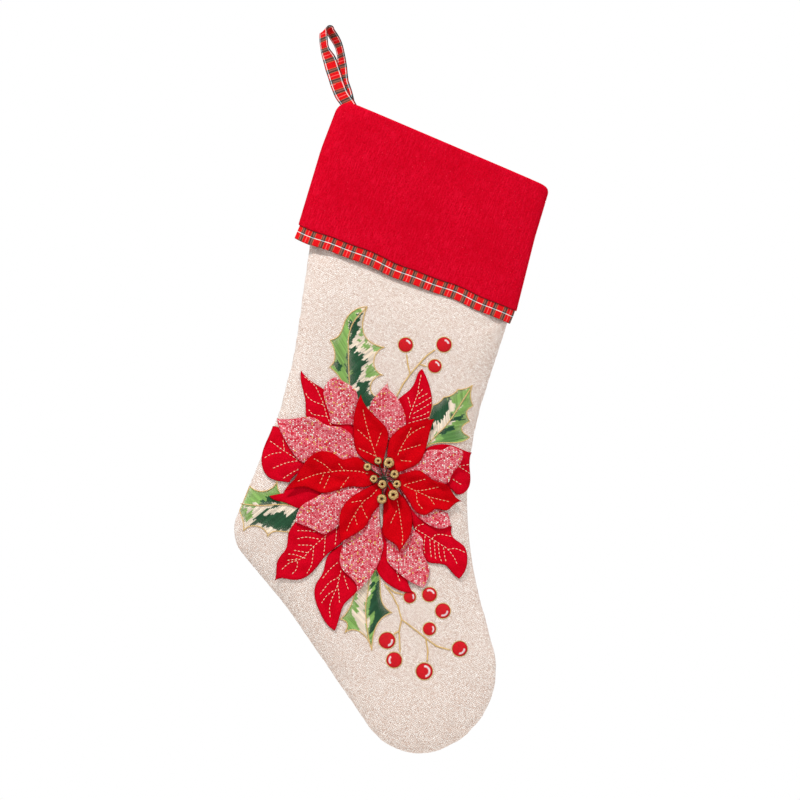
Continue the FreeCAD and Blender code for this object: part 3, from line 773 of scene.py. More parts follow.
# Shares of the leg's full depth: open and padded cloth, cloth before it is swollen, and cloth
# held by the cuff, at its left edge and gained across HELD_WIDTH.
FULL, UNSWOLLEN, HELD, HELD_GAIN = 0.97, 0.62, 0.58, 0.2
HELD_WIDTH = 200
HELD_END, HELD_EASE, MOUTH_EASE = 118, 60, 30

# The seam: how wide its puff is, and its groove's depth, width and distance from the seam plane.
SEAM_PUFF = 46.0
SEAM_GROOVE, GROOVE_WIDTH, GROOVE_REACH = 0.7, 1.8, 3.0

# The swelling: it starts SWELL_MARGIN above the hem and grows over SWELL_EASE to its full size.
SIM_FRAMES = 20
SWELL, SWELL_MARGIN, SWELL_EASE = 5.0, 10, 60


def leg_outline():
    """The leg's outline, from the mouth's left corner round the toe to its right corner."""
    band = max(face_loops("leg_front", front=False), key=len)
    at_mouth = np.flatnonzero(band[:, 1] < 0.3)
    order = at_mouth[np.argsort(band[at_mouth, 0])]
    left, right = order[0], order[-1]
    count = len(band)
    step = 1 if (left + 1) % count not in order else -1
    path, here = [band[left]], left
    while here != right:
        here = (here + step) % count
        path.append(band[here])
    path = np.array(path)
    path[path[:, 1] < MOUTH_TOP, 1] = MOUTH_TOP
    return path


LEG_OUTLINE = leg_outline()


def pillow(distance, reach, power=2.2):
    """Height from 0 to 1 of a padded edge."""
    x = np.clip(distance / reach, 0, 1)
    return (1 - (1 - x) ** power) ** (1 / power)


def fullness(flat, slack):
    """Share of the full depth: whole at the mouth, flatter where the cuff holds the leg (most of
    all at its left), and slack below, where the padding swells it again."""
    v = flat[:, 1]
    at_mouth = 1 - smooth_step((v - FACING_DEPTH) / MOUTH_EASE)
    below = smooth_step((v - HELD_END) / HELD_EASE)
    held = HELD + HELD_GAIN * np.clip(flat[:, 0] / HELD_WIDTH, 0, 1)
    return FULL * at_mouth + (1 - at_mouth) * (FULL * held * (1 - below) + slack * below)


def leg_pouch(slack):
    """Front and back panel sewn along the outline and open at the mouth, as pattern points."""
    flat, triangles = fill(LEG_OUTLINE, PANEL_STEP)
    seam_gap = distance_to(flat, LEG_OUTLINE, closed=False)
    height = LEG_DEPTH * pillow(seam_gap, SEAM_PUFF) * fullness(flat, slack)
    sewn = seam_gap < 1e-3
    count = len(flat)
    behind = np.arange(count) + count
    behind[sewn] = np.arange(count)[sewn]
    points = np.concatenate([np.column_stack([flat, -height]), np.column_stack([flat, height])])
    fronts = [tri if is_front_facing(flat, tri) else tri[::-1] for tri in triangles]
    backs = [tuple(int(behind[i]) for i in reversed(tri)) for tri in fronts]
    used, faces = only_used(fronts + backs)
    return points[used], faces, len(fronts)


def inflate(piece, pinned, pressure, cap):
    """Swells a sewn pouch by cloth simulation. Points move to the front or the back only, so that
    the outline stays, and no farther than their cap, in metres."""
    scene = bpy.context.scene
    start = vertex_values(piece.data, "co")
    group = piece.vertex_groups.new(name="pinned")
    group.add([int(i) for i in pinned], 1.0, "REPLACE")
    cloth = piece.modifiers.new("cloth", "CLOTH")
    cloth.settings.vertex_group_mass = "pinned"
    cloth.settings.use_pressure = True
    cloth.settings.uniform_pressure_force = pressure
    cloth.settings.effector_weights.gravity = 0
    cloth.settings.tension_stiffness = 25
    cloth.settings.compression_stiffness = 12
    cloth.settings.bending_stiffness = 0.4
    cloth.settings.quality = 6
    cloth.collision_settings.use_collision = False
    cloth.point_cache.frame_start = 1
    cloth.point_cache.frame_end = SIM_FRAMES
    for index in range(1, SIM_FRAMES + 1):
        scene.frame_set(index)
    result = piece.evaluated_get(bpy.context.evaluated_depsgraph_get())
    move = (vertex_values(result.data, "co") - start) * (0, 1, 0)
    piece.modifiers.remove(cloth)
    scene.frame_set(1)
    length = np.linalg.norm(move, axis=1)
    share = cap * np.tanh(length / np.maximum(cap, 1e-9)) / np.maximum(length, 1e-12)
    piece.data.vertices.foreach_set("co", (start + move * share[:, None]).ravel())


def subdivided(piece, levels):
    """Replaces a piece's mesh by its subdivision surface."""
    modifier = piece.modifiers.new("smooth", "SUBSURF")
    modifier.levels = levels
    modifier.boundary_smooth = "PRESERVE_CORNERS"
    result = piece.evaluated_get(bpy.context.evaluated_depsgraph_get())
    mesh = bpy.data.meshes.new_from_object(result)
    piece.modifiers.remove(modifier)
    piece.data = mesh
    return piece


def panel(name, points, faces, places, material, replaces):
    """One cloth panel of the pouch."""
    used, faces = only_used(faces)
    white = np.ones((len(used), 3))
    bend_at_seam(new_piece(name, points[used], faces, places[used], white, material, replaces))


def bend_at_seam(piece):
    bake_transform(piece)


def build_leg():
    """Linen panels and lining panels. Returns the front panel's points and faces."""
    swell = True
    points, faces, front_count = leg_pouch(UNSWOLLEN if swell else FULL)
    mesh = bpy.data.meshes.new("pouch")
    mesh.from_pydata(place(points).tolist(), [], faces)
    kinds = [0] * front_count + [1] * (len(faces) - front_count)
    mesh.polygons.foreach_set("material_index", kinds)
    mesh.materials.append(MATERIALS["linen"])
    mesh.materials.append(MATERIALS["linen"])
    layer = mesh.uv_layers.new(name="cloth")
    layer.data.foreach_set("uv", points[corner_points(mesh), :2].ravel())
    pouch = bpy.data.objects.new("pouch", mesh)
    bpy.context.scene.collection.objects.link(pouch)
    if swell:
        hem = node_points("cuff_front")[:, 1].max()
        held = (points[:, 1] < hem - SWELL_MARGIN) | (abs(points[:, 2]) < 1e-6)
        cap = SWELL * MM * smooth_step((points[:, 1] - hem + SWELL_MARGIN) / SWELL_EASE)
        inflate(pouch, np.flatnonzero(held), pressure=4.0, cap=cap)
    subdivided(pouch, 2)
    mesh = pouch.data
    positions, normals = vertex_values(mesh, "co"), vertex_values(mesh, "normal")
    spots = pattern_of(positions)
    seam_gap = distance_to(spots, LEG_OUTLINE, closed=False)
    at_seam = abs(spots[:, 2]) < GROOVE_REACH
    groove = SEAM_GROOVE * (1 - smooth_step(seam_gap / GROOVE_WIDTH)) * at_seam
    positions = positions - normals * groove[:, None] * MM
    places = np.zeros((len(positions), 2))
    for corner, place_on in zip(mesh.loops, mesh.uv_layers["cloth"].data):
        places[corner.vertex_index] = place_on.uv
    polygons = [tuple(p.vertices) for p in mesh.polygons]
    sides = [p.material_index for p in mesh.polygons]
    bpy.data.objects.remove(pouch)
    for side, kind in (("front", 0), ("back", 1)):
        chosen = [face for face, own in zip(polygons, sides) if own == kind]
        panel(f"linen_{side}_panel", positions, chosen, places, "linen", [f"leg_{side}"])
        inner = [tuple(reversed(face)) for face in chosen]
        lining = positions - normals * LINING_GAP * MM
        panel(f"lining_{side}_panel", lining, inner, places, "lining_cloth", [f"lining_{side}"])
        if kind == 0:
            front = (pattern_of(positions), chosen)
    return front


FRONT_PANEL = build_leg()

# ---------------------------------------------------------------- heights under the decoration

DECORATION = [n for n in NODES if n.startswith(("base_", "pink_", "red_", "holly_", "berr", "stam"))]


class Relief:
    """How far everything laid so far stands in front of the seam plane, on a pattern grid."""

    STEP = 0.8

    def __init__(self, points, faces, names):
        spots = np.concatenate([node_points(name) for name in names])
        self.low = spots[:, :2].min(0) - 6
        high = spots[:, :2].max(0) + 6
        self.us = np.arange(self.low[0], high[0], self.STEP)
        self.vs = np.arange(self.low[1], high[1], self.STEP)
        tree = BVHTree.FromPolygons([Vector(p) for p in points], faces)
        toward_back = Vector((0, 0, 1))
        self.height = np.zeros((len(self.us), len(self.vs)))
        for i, u in enumerate(self.us):
            for j, v in enumerate(self.vs):
                hit = tree.ray_cast(Vector((u, v, -60)), toward_back)[0]
                self.height[i, j] = -hit.z if hit else 0.0
        self.grid = np.stack(np.meshgrid(self.us, self.vs, indexing="ij"), -1).reshape(-1, 2)

    def sample(self, points, height=None):
        height = self.height if height is None else height
        spot = (np.asarray(points)[:, :2] - self.low) / self.STEP
        limit = np.array(height.shape) - 1.001
        spot = np.clip(spot, 0, limit)
        i, j = spot.astype(int).T
        a, b = (spot - spot.astype(int)).T
        near = height[i, j] * (1 - b) + height[i, j + 1] * b
        far = height[i + 1, j] * (1 - b) + height[i + 1, j + 1] * b
        return near * (1 - a) + far * a

    def resting(self, spread=2, passes=3):
        """The surface that a soft layer takes over what lies below it."""
        height = self.height
        for _ in range(spread):
            for axis in (0, 1):
                beside = np.maximum(np.roll(height, 1, axis), np.roll(height, -1, axis))
                height = np.maximum(height, beside)
        for _ in range(passes):
            for axis in (0, 1):
                height = (np.roll(height, 1, axis) + height + np.roll(height, -1, axis)) / 3
        return height

    def lay(self, loop, shape):
        """Raises the grid to the top of a piece that covers an outline."""
        low, high = loop.min(0), loop.max(0)
        near = np.flatnonzero(((self.grid >= low) & (self.grid <= high)).all(1))
        covered = near[inside(self.grid[near], loop)]
        flat = self.height.reshape(-1)
        flat[covered] = np.maximum(flat[covered], shape(self.grid[covered])[1])


relief = Relief(*FRONT_PANEL, DECORATION)

# ---------------------------------------------------------------- petals

FLOWER = np.mean([(low + high)[:2] / 2 for low, high in islands("stamen_beads")], 0)
VEIN_WIDTH = 2.4
HEART_RADIUS = 15.0
FREE_FROM = 0.45
CURL_WIDTH = 7.0
STITCH, STITCH_GAP, STITCH_RADIUS = 2.0, 1.2, 0.3

# Stitched veins as pattern points (u, v), each from the petal's root side outward.
VEINS = {
    "red_petal_6": [
        [(141, 264), (132, 253.6), (124, 243.6), (118.6, 236), (116, 232)],
        [(132, 254), (117, 248.6)], [(140, 263.6), (124, 263)], [(137, 244), (137.6, 256)],
    ],
    "red_petal_1": [
        [(157, 256), (157, 251), (158.6, 239), (164, 230), (170, 224)],
        [(157, 252), (172, 240)], [(158, 239), (158.6, 230)], [(161, 259), (169, 256.4)],
    ],
    "red_petal_2": [
        [(171, 277), (183, 277.5), (193, 278), (198.6, 280.7), (202, 283)],
        [(171.4, 276.4), (187, 264.3)], [(183, 277), (189, 273.6), (198.6, 267)],
        [(193, 278), (203.6, 276.4), (212, 275)], [(183, 278.6), (187, 285.7), (193.6, 289.3)],
    ],
    "red_petal_3": [
        [(170.7, 290.7), (175.7, 298), (182, 308.6), (186.4, 316.4), (188.6, 323)],
        [(173.6, 298.6), (173, 311.4)],
    ],
    "red_petal_4": [
        [(152, 288.6), (149.3, 295.7), (145, 303.6), (142, 321.4), (142, 330)],
        [(143.6, 302), (135.7, 307)], [(145, 305.7), (151.4, 312), (155, 314.3)],
        [(143, 315.7), (148, 322)],
    ],
    "red_petal_5": [
        [(140, 279.3), (132, 280.7), (120, 285), (110.7, 290), (100.7, 296.4), (88, 308)],
        [(121.6, 285), (114.4, 281)], [(110.7, 289), (104, 286.4), (94, 285)],
        [(111.4, 293), (111, 305.7)], [(106.4, 294), (106.4, 303.6)], [(126.4, 288), (123.6, 299)],
    ],
    "base_petal_9": [
        [(96.4, 254), (90, 248), (84.3, 240.7), (76.4, 233), (70.7, 228.6), (60.7, 225.4)],
        [(84, 241), (76.4, 241.4), (70, 240), (66.4, 236.8)],
        [(91, 248.5), (84.3, 250.4), (78.6, 251.4), (74.6, 249.3)],
    ],
    "base_petal_8": [
        [(82, 291), (68.6, 288.6), (60.7, 286.8), (53.6, 285.4)], [(68.6, 288), (63.6, 279.3)],
        [(67, 290.7), (60, 295), (55, 301.4)], [(82, 292), (74.3, 297), (64.6, 306.4)],
        [(85.7, 298), (81.4, 303), (75.7, 311.4)],
    ],
    "base_petal_6": [
        [(127.5, 340), (123, 349), (120, 356), (117.5, 363), (113.5, 368), (108, 373), (103.5, 382)],
        [(118, 340.5), (110, 343), (104, 345.5)], [(123, 345), (113, 347.5), (106, 352)],
        [(120, 352), (113, 354.5), (107.5, 357)], [(119, 359), (107.5, 361.5)],
        [(119, 364), (110, 364.5), (103.5, 366.5)], [(113, 367), (105.5, 371.5)],
        [(127.5, 342), (130, 349), (132, 356)], [(121.5, 352), (125.5, 366), (125, 375)],
        [(114, 369), (115.5, 375), (113.5, 381)], [(133, 330), (136, 339), (137.5, 345)],
    ],
    "base_petal_5": [
        [(150, 362), (152, 375), (152.5, 392), (156.5, 401)], [(145, 357), (141, 365), (138.5, 374)],
        [(150.5, 368), (145, 375), (141.5, 387)], [(150.5, 380), (147, 386), (145.5, 393)],
        [(154, 365), (158, 370), (162, 374.5)], [(152, 374), (155, 379), (159.5, 388)],
    ],
    "base_petal_4": [[(193, 345), (197, 350), (200, 353)]],
    "base_petal_3": [
        [(193, 306.5), (203, 308), (218, 310.5), (225, 312), (232, 316), (238, 321.5)],
        [(225, 312), (231, 309), (240, 309)], [(193.5, 306.5), (195, 303), (200, 299.5)],
        [(209.5, 309.4), (211, 305), (216, 302.5), (224, 301)], [(203.5, 309), (206, 318), (208.5, 322)],
        [(208, 310), (213, 320), (216, 325)], [(212, 310), (217, 320), (220, 325)],
        [(216, 311), (221, 320), (224, 323)], [(221, 312), (226, 320), (228, 322)],
    ],
    "base_petal_2": [
        [(207, 245), (215, 240)], [(207, 245), (218, 247)], [(206.4, 256.8), (217, 258.6)],
    ],
    "base_petal_1": [
        [(154, 224), (153.4, 219), (153, 209), (152.5, 202), (150.6, 194), (149.4, 187)],
        [(153.4, 202.6), (155, 197.6)], [(154.8, 206), (158.7, 201), (161, 198)],
        [(155, 213), (160.6, 205.5), (164, 201)], [(155.7, 219), (162.5, 210), (166, 205)],
        [(156.6, 223), (164.4, 216.3), (168, 211)], [(155, 228), (161.5, 223), (169, 217)],
        [(151.4, 215), (149.2, 212), (145.4, 207)],
    ],
}


def petal_shape(loop, veins, rest, thickness, puff, lift, ripple, seed):
    """A function that gives a petal's underside and top at pattern points. The petal is free of
    the cloth from FREE_FROM of the way to its tip, where it lifts, curls up and ripples."""
    far = np.linalg.norm(loop - FLOWER, axis=1).max()
    phase = seed * 2.4

    def shape(points):
        edge = distance_to(points, loop)
        way = points - FLOWER
        share = np.linalg.norm(way, axis=1) / far
        angle = np.arctan2(way[:, 1], way[:, 0])
        height = relief.sample(points, rest) + 0.1
        free = smooth_step((share - FREE_FROM) / (1 - FREE_FROM))
        curl = (1 - smooth_step(edge / CURL_WIDTH)) * free
        height = height + lift * (0.45 * free**2 + 0.75 * curl)
        height = height + ripple * free * np.sin(9 * angle + 5 * share + phase)
        across = edge
        for vein in veins:
            across = np.minimum(across, distance_to(points, vein, closed=False))
        crown = puff * (1 - np.exp(-((across / VEIN_WIDTH) ** 2)))
        full = rounded(edge, 0.8)
        under = height + 0.5 * thickness * (1 - full)
        over = height + thickness * (0.5 + 0.5 * full) + crown * full
        return under, over

    return shape


def build_petals(family, material, thickness, puff, lift, ripple):
    """Lays every petal of a family and stitches its veins. Red petals are laid every second one
    first, so that the others lie on top of their neighbours."""
    names = sorted(name for name in NODES if name.startswith(family))
    if family == "red_petal":
        names = names[0::2] + names[1::2]
    stitches = Bundle()
    for index, name in enumerate(names):
        loop = resample(max(face_loops(name), key=len), 1.0)
        veins = [smooth_path(vein, 2.0) for vein in VEINS.get(name, [])]
        rest = relief.resting()
        shape = petal_shape(loop, veins, rest, thickness, puff, lift, ripple, index)

        # Painted shade: each petal's felt is tinted darker within about half a millimetre of its edge.
        def painted_edge_shade(points):
            edge_shade = 1 - 0.4 * np.exp(-distance_to(points, loop) / 0.5)
            return np.repeat(edge_shade[:, None], 3, 1)

        body = Bundle()
        closed_sheet(body, loop, 1.6, shape, rings=(0.3, 0.9), edge_step=1.0, tint=painted_edge_shade)
        sew_on(body, name + "_cloth", material, [name])
        relief.lay(loop, shape)
        for vein in veins:
            running_stitch(stitches, vein, STITCH, STITCH_GAP, STITCH_RADIUS)
    if stitches.count:
        thread = family + "_veins"
        sew_on(stitches, thread, thread, slot="gold_thread")


def build_heart():
    """The round patch on which all the petals' roots are sewn."""
    loop = circle(FLOWER, HEART_RADIUS, 48)
    shape = petal_shape(loop, [], relief.resting(), 0.8, 0.0, 0.0, 0.0, 0)
    patch = Bundle()
    closed_sheet(patch, loop, 1.6, shape, edge_step=1.2)
    sew_on(patch, "flower_heart", "pink_tweed")
    relief.lay(loop, shape)


def running_stitch(bundle, path, length, gap, radius):
    """Dashes of thread that dive into the cloth at both ends."""
    path = smooth_path(path, 0.4)
    reach = reach_along(path)
    start = 0.0
    while start + 0.6 * length < reach[-1]:
        even = np.linspace(start, min(start + length, reach[-1]), 7)
        dash = at_reach(path, reach, even)
        arch = np.sin(np.linspace(0.08, 0.92, 7) * math.pi)
        height = relief.sample(dash) + 0.32 * arch - 0.1
        width = radius * (0.45 + 0.55 * arch)
        bundle.add(*sweep(np.column_stack([dash, -height]), width, 6))
        start += length + gap


# ---------------------------------------------------------------- embroidery

LIGHT_GREEN, MID_GREEN = srgb(142, 186, 100), srgb(104, 154, 84)
DARK_GREEN, CREAM = srgb(40, 88, 58), srgb(246, 232, 212)
SATIN_LEAN = math.radians(42)
SATIN_PITCH = 0.95
THREAD_STEP = 0.8
THREAD_TWIST = 0.05
OUTLINE_RADIUS = 0.4
BERRY_RING = 1.04

# Each leaf, in pattern points: its midrib from tip to root, the colours left and right of it as
# drawn on the pattern, and patches of another colour.
LEAVES = {
    "holly_leaf_1": (
        [
            (86.7, 152), (83, 160.7), (80.7, 170.7), (82, 181.4), (85.7, 190.7), (93.6, 208.6),
            (101, 224),
        ],
        LIGHT_GREEN, CREAM,
        [
            (DARK_GREEN, [(84, 158), (87, 166), (87, 186), (83, 186), (81, 170)]),
            (DARK_GREEN, [
                (85, 182), (92, 187), (97, 186), (104, 200), (103, 210), (99, 219), (90, 203),
            ]),
            (LIGHT_GREEN, [
                (90, 163), (94, 175), (105, 178), (115, 176), (110, 183), (98, 181), (88, 172),
            ]),
            (LIGHT_GREEN, [(106, 193), (112, 195), (120, 199.5), (115, 205), (107, 204)]),
            (DARK_GREEN, [(104, 209), (115, 212), (121, 218), (119, 230), (110, 236), (105, 222)]),
            (DARK_GREEN, [(77, 204), (86, 205), (90, 209), (80, 210)]),
        ],
    ),
    "holly_leaf_2": (
        [(192, 178.6), (190, 190), (187, 207), (184.3, 218.6), (180, 228.6), (176, 241)],
        CREAM, LIGHT_GREEN,
        [
            (DARK_GREEN, [
                (186, 180), (176, 190), (164, 202), (164, 226), (172, 238), (175, 222), (181, 206),
            ]),
            (LIGHT_GREEN, [(193, 178), (181, 186), (176, 197), (186, 202), (191, 195)]),
            (MID_GREEN, [(184, 224), (196, 217), (206, 219), (199, 226), (184, 233)]),
            (DARK_GREEN, [(186, 212), (195, 203), (197, 206), (188, 214)]),
            (DARK_GREEN, [(181, 224), (192, 214), (194, 217), (184, 227)]),
        ],
    ),
    "holly_leaf_3": (
        [(173, 350), (175, 362), (178, 372), (180, 381), (185, 392), (192, 404), (199, 413.5)],
        CREAM, LIGHT_GREEN,
        [
            (LIGHT_GREEN, [
                (166, 374), (172, 376), (173, 392), (180, 398), (186, 404), (170, 408), (164, 399),
            ]),
            (DARK_GREEN, [
                (176, 352), (188, 366), (204, 378), (197, 392), (192, 400), (186, 382), (180, 368),
            ]),
        ],
    ),
    "holly_leaf_4": (
        [(52, 343), (62, 340), (70, 337), (80, 332), (88, 329), (100, 326)],
        CREAM, LIGHT_GREEN,
        [
            (DARK_GREEN, [(60, 336), (72, 330), (86, 327), (84, 331), (70, 336)]),
            (DARK_GREEN, [
                (66, 352), (74, 338), (78, 344), (86, 336), (90, 342), (98, 328), (100, 344),
                (88, 353), (76, 355),
            ]),
            (LIGHT_GREEN, [(53, 344), (60, 342), (64, 353), (60, 358), (53, 352)]),
        ],
    ),
}


def satin_fill(bundle, loop, midrib, side, colour_at, pitch, seed):
    """Rows of raised threads from the midrib outward, on one side of it."""
    rib_way = midrib[0] - midrib[-1]
    rib_way = rib_way / np.linalg.norm(rib_way)
    lean = -side * SATIN_LEAN
    way = np.array([
        rib_way[0] * math.cos(lean) - rib_way[1] * math.sin(lean),
        rib_way[0] * math.sin(lean) + rib_way[1] * math.cos(lean),
    ])
    square = np.array([-way[1], way[0]])
    centre = loop.mean(0)
    reach = np.linalg.norm(loop - centre, axis=1).max()
    steps = np.arange(-reach, reach, THREAD_STEP)
    random = np.random.default_rng(seed)
    group = 0.0
    for index, offset in enumerate(np.arange(-reach, reach, pitch)):
        line = centre + square * offset + way * steps[:, None]
        keep = inside(line, loop) & (side_of(line, midrib) == side)
        if index % 3 == 0:
            group = random.uniform(-4.5, 4.5)
        shift = group + random.uniform(-1.4, 1.4)
        tone = random.uniform(0.72, 1.16)
        for run in np.split(np.arange(len(line)), np.flatnonzero(~keep)):
            run = run[keep[run]]
            if len(run) >= 3:
                tints = colour_at(line[run] + way * shift) * tone
                add_thread(bundle, line[run], square, pitch, tints)


def side_of(points, midrib):
    """1 or -1 for the side of a path on which each point lies."""
    gaps = np.linalg.norm(points[:, None] - midrib[None], axis=2)
    nearest = np.clip(gaps.argmin(1), 0, len(midrib) - 2)
    start, end = midrib[nearest], midrib[nearest + 1]
    way, gap = end - start, points - start
    return np.where(way[:, 0] * gap[:, 1] - way[:, 1] * gap[:, 0] > 0, 1, -1)


def add_thread(bundle, line, square, pitch, tints):
    """One satin thread as a low rounded strip."""
    count = len(line)
    ends = np.sin(np.linspace(0.12, 0.88, count) * math.pi) ** 0.35
    ground = relief.sample(line)
    rows = []
    for across, rise in ((-0.52, 0.0), (-0.3, 0.30), (0.0, 0.42), (0.3, 0.30), (0.52, 0.0)):
        spot = line + square * (across * pitch * ends)[:, None]
        rows.append(np.column_stack([spot, -(ground + rise * ends)]))
    points = np.stack(rows, 1).reshape(-1, 3)
    width = len(rows)
    along = np.repeat(np.arange(count) * THREAD_STEP, width)
    places = np.column_stack([along * THREAD_TWIST, np.tile(np.arange(width) / width, count)])
    bundle.add(points, grid_faces(count, width), places, np.repeat(tints, width, 0))


def cord(bundle, path, radius, closed=False):
    """A round thread that lies on whatever is below it."""
    height = relief.sample(path) + 0.6 * radius
    bundle.add(*sweep(np.column_stack([path, -height]), radius, 6, closed))


def build_holly():
    """Satin-stitched leaves with gold outlines and midribs."""
    gold = Bundle()
    for index, (name, (midrib, left, right, patches)) in enumerate(LEAVES.items()):
        loop = max(face_loops(name), key=len)
        midrib = smooth_path(midrib, 2.0)

        def colour_at(points):
            colours = np.where(side_of(points, midrib)[:, None] > 0, left, right)
            for colour, patch in patches:
                colours[inside(points, np.array(patch, float))] = colour
            return colours

        leaf = Bundle()
        for side in (-1, 1):
            satin_fill(leaf, loop, midrib, side, colour_at, SATIN_PITCH, 10 * index + side + 1)
        sew_on(leaf, name + "_embroidery", "green_embroidery", [name])
        relief.lay(loop, lambda points: (None, relief.sample(points) + 0.35))

        cord(gold, resample(loop, 1.2), OUTLINE_RADIUS, closed=True)
        cord(gold, midrib, OUTLINE_RADIUS)
    sew_on(gold, "holly_outlines", "gold_thread")


# Each berry's white glint: the berry's centre on the pattern, roughly, and where the glint starts
# and ends, as hours on a clock face.
GLINTS = [
    (128, 169, 0.3, 2.6), (157.3, 156.7, 0.3, 2.6), (157, 176, 0.3, 2.8), (211, 360.5, 1.5, 4.0),
    (225.3, 352.4, 11.0, 2.5), (240.7, 360.7, 3.0, 6.5), (236.2, 378.7, 1.5, 4.5),
    (265.6, 384.3, 3.0, 6.3), (245.7, 412.7, 0.0, 5.5), (219, 413.7, 7.5, 10.5),
    (207.4, 401, 2.5, 5.5),
]


def build_berries(name):
    """Padded satin-stitch berries: a dark rim, a white glint and a thin gold outline."""
    red, dark, white = srgb(214, 6, 26), srgb(140, 6, 20), srgb(240, 220, 224)
    random = np.random.default_rng(5)
    berries, gold = Bundle(), Bundle()
    for low, high in islands(name):
        centre, radius = (low + high)[:2] / 2, (high - low)[0] / 2
        _, _, start, end = min(GLINTS, key=lambda g: math.dist(g[:2], centre))
        ground = relief.sample(centre[None])[0]
        rings, sectors = 10, 36
        turn = np.arange(sectors) * 2 * math.pi / sectors
        r, a = (grid.ravel() for grid in np.meshgrid(np.linspace(0, 1, rings), turn, indexing="ij"))
        flat = centre + radius * np.column_stack([r * np.cos(a), r * np.sin(a)])
        height = ground + 0.2 + 1.3 * np.sqrt(np.clip(1 - r**2, 0, 1))
        drop = place(np.column_stack([flat, -height])) - place([[*centre, 0]])
        hour = (np.degrees(np.arctan2(drop[:, 0], drop[:, 2])) / 30) % 12
        span = (end - start) % 12
        glint = ((hour - start) % 12 < span) & (r > 0.48) & (r < 0.76)
        tint = np.where((r > 0.9)[:, None], dark, red)
        tint = np.where(glint[:, None], white, tint) * random.uniform(0.78, 1.08, len(r))[:, None]
        faces = grid_faces(rings, sectors, ring=True)
        berries.add(np.column_stack([flat, -height]), faces, flat * 0.6, tint)
        cord(gold, circle(centre, BERRY_RING * radius, 40), 0.32, closed=True)
    sew_on(berries, name + "_domes", "berry_embroidery", [name])
    sew_on(gold, name + "_rings", "gold_thread")


def build_stems(name):
    stems = Bundle()
    for loop in face_loops(name):

        def shape(points):
            ground = relief.sample(points)
            return ground, ground + 0.15 + 0.75 * rounded(distance_to(points, loop), 0.6)

        closed_sheet(stems, loop, 0.6, shape, rings=(0.25,), edge_step=0.6)
    sew_on(stems, name + "_cord", "gold_thread", [name])


def build_beads():
    """Knotted gold rings, and the green threads between them."""
    beads, threads = Bundle(), Bundle()
    rest = relief.resting(1, 2)
    for low, high in islands("stamen_beads"):
        centre, radius = (low + high)[:2] / 2, 1.08 * (high - low)[0] / 2
        ground = relief.sample(centre[None], rest)[0]
        tube, count, sides = 0.36 * radius, 36, 12
        around = np.arange(count) * 2 * math.pi / count
        turn = np.arange(sides) * 2 * math.pi / sides
        a, b = (grid.ravel() for grid in np.meshgrid(around, turn, indexing="ij"))
        knot = tube * (1 + 0.14 * np.cos(5 * a + 2 * b) + 0.07 * np.cos(9 * a - 3 * b))
        spread = 0.62 * radius + knot * np.cos(b)
        height = ground + 1.2 + 1.35 * tube + 1.35 * knot * np.sin(b)
        points = np.column_stack([
            centre[0] + spread * np.cos(a), centre[1] + spread * np.sin(a), -height,
        ])
        faces = grid_faces(count, sides, ring=True, closed=True)
        beads.add(points, faces, np.column_stack([a * radius, b / math.pi]))
        seat = np.column_stack([circle(centre, 0.95 * radius, count), np.full(count, -(ground + 0.7))])
        threads.add(*sweep(seat, 0.5, 6, closed=True))
        line = smooth_path([FLOWER, centre], 1.0)
        arch = np.sin(np.linspace(0, 1, len(line)) * math.pi)
        lift = relief.sample(line, rest) + 0.5 + 0.8 * arch
        threads.add(*sweep(np.column_stack([line, -lift]), 0.45, 6))
    sew_on(beads, "gold_beads", "gold_bead", ["stamen_beads"])
    sew_on(threads, "stamen_cords", "stamen_green_thread", ["stamen_threads"])


build_holly()
for stem_node in ("berry_stems_upper", "berry_stems_lower"):
    build_stems(stem_node)
for berry_node in ("berries_upper", "berries_lower"):
    build_berries(berry_node)
build_petals("base_petal", "crimson_felt", 0.9, 0.5, 0.6, 0.15)
build_petals("pink_petal", "pink_tweed", 0.9, 0.5, 1.1, 0.25)
build_heart()
build_petals("red_petal", "red_felt", 1.0, 0.8, 2.3, 0.4)
build_beads()

# ---------------------------------------------------------------- cuff, facing and trim

CUFF_DEPTH = -node_points("cuff_front")[:, 2].min()
CUFF_SKIN = 0.6
CUFF_POWER = 3.4
SAG_LENGTH = 110
RIM_RADIUS = 2.1
RIM_TOP = 0.6
RIM_FALL, RIM_FALL_LENGTH = 1.8, 30
FACING_INSET = 4.9
FACING_TAPER = 0.8
CORNER_LEFT, CORNER_RIGHT = 12.0, 6.0
RING_COUNT = 240
SIDE_SHARE = 0.16

CUFF_LEVELS = np.linspace(0.2, 110.5, 24)
CUFF_LEFT, CUFF_RIGHT = widths("cuff_front", CUFF_LEVELS)
HEM_LEFT = node_points("cuff_front")[:, 1].max()
HEM_TUCK = 0.6
HEM_RISE = 3.0

# The trim below the hem: how far it drops and how far it is tucked in, and its insets.
TRIM_DROP, TRIM_TUCK = 11.6, 4
TRIM_OUTSIDE, TRIM_MIDDLE, TRIM_INSIDE = 1.35, 1.65, 1.95


def hem_depth(share):
    """v of the red hem. share runs from 0 at the left edge to 1 at the right edge."""
    wave = 0.7 * np.sin(2 * math.pi * share * 2.3 + 0.6) + 0.35 * np.sin(2 * math.pi * share * 5.1)
    return HEM_LEFT - HEM_TUCK - HEM_RISE * share + wave


def corner_cut(v, radius):
    """How far a rounded top corner of the cuff stands back from its edge."""
    gap = np.clip(v - RIM_TOP, 0, radius)
    return radius - np.sqrt(np.maximum(radius**2 - (radius - gap) ** 2, 0))


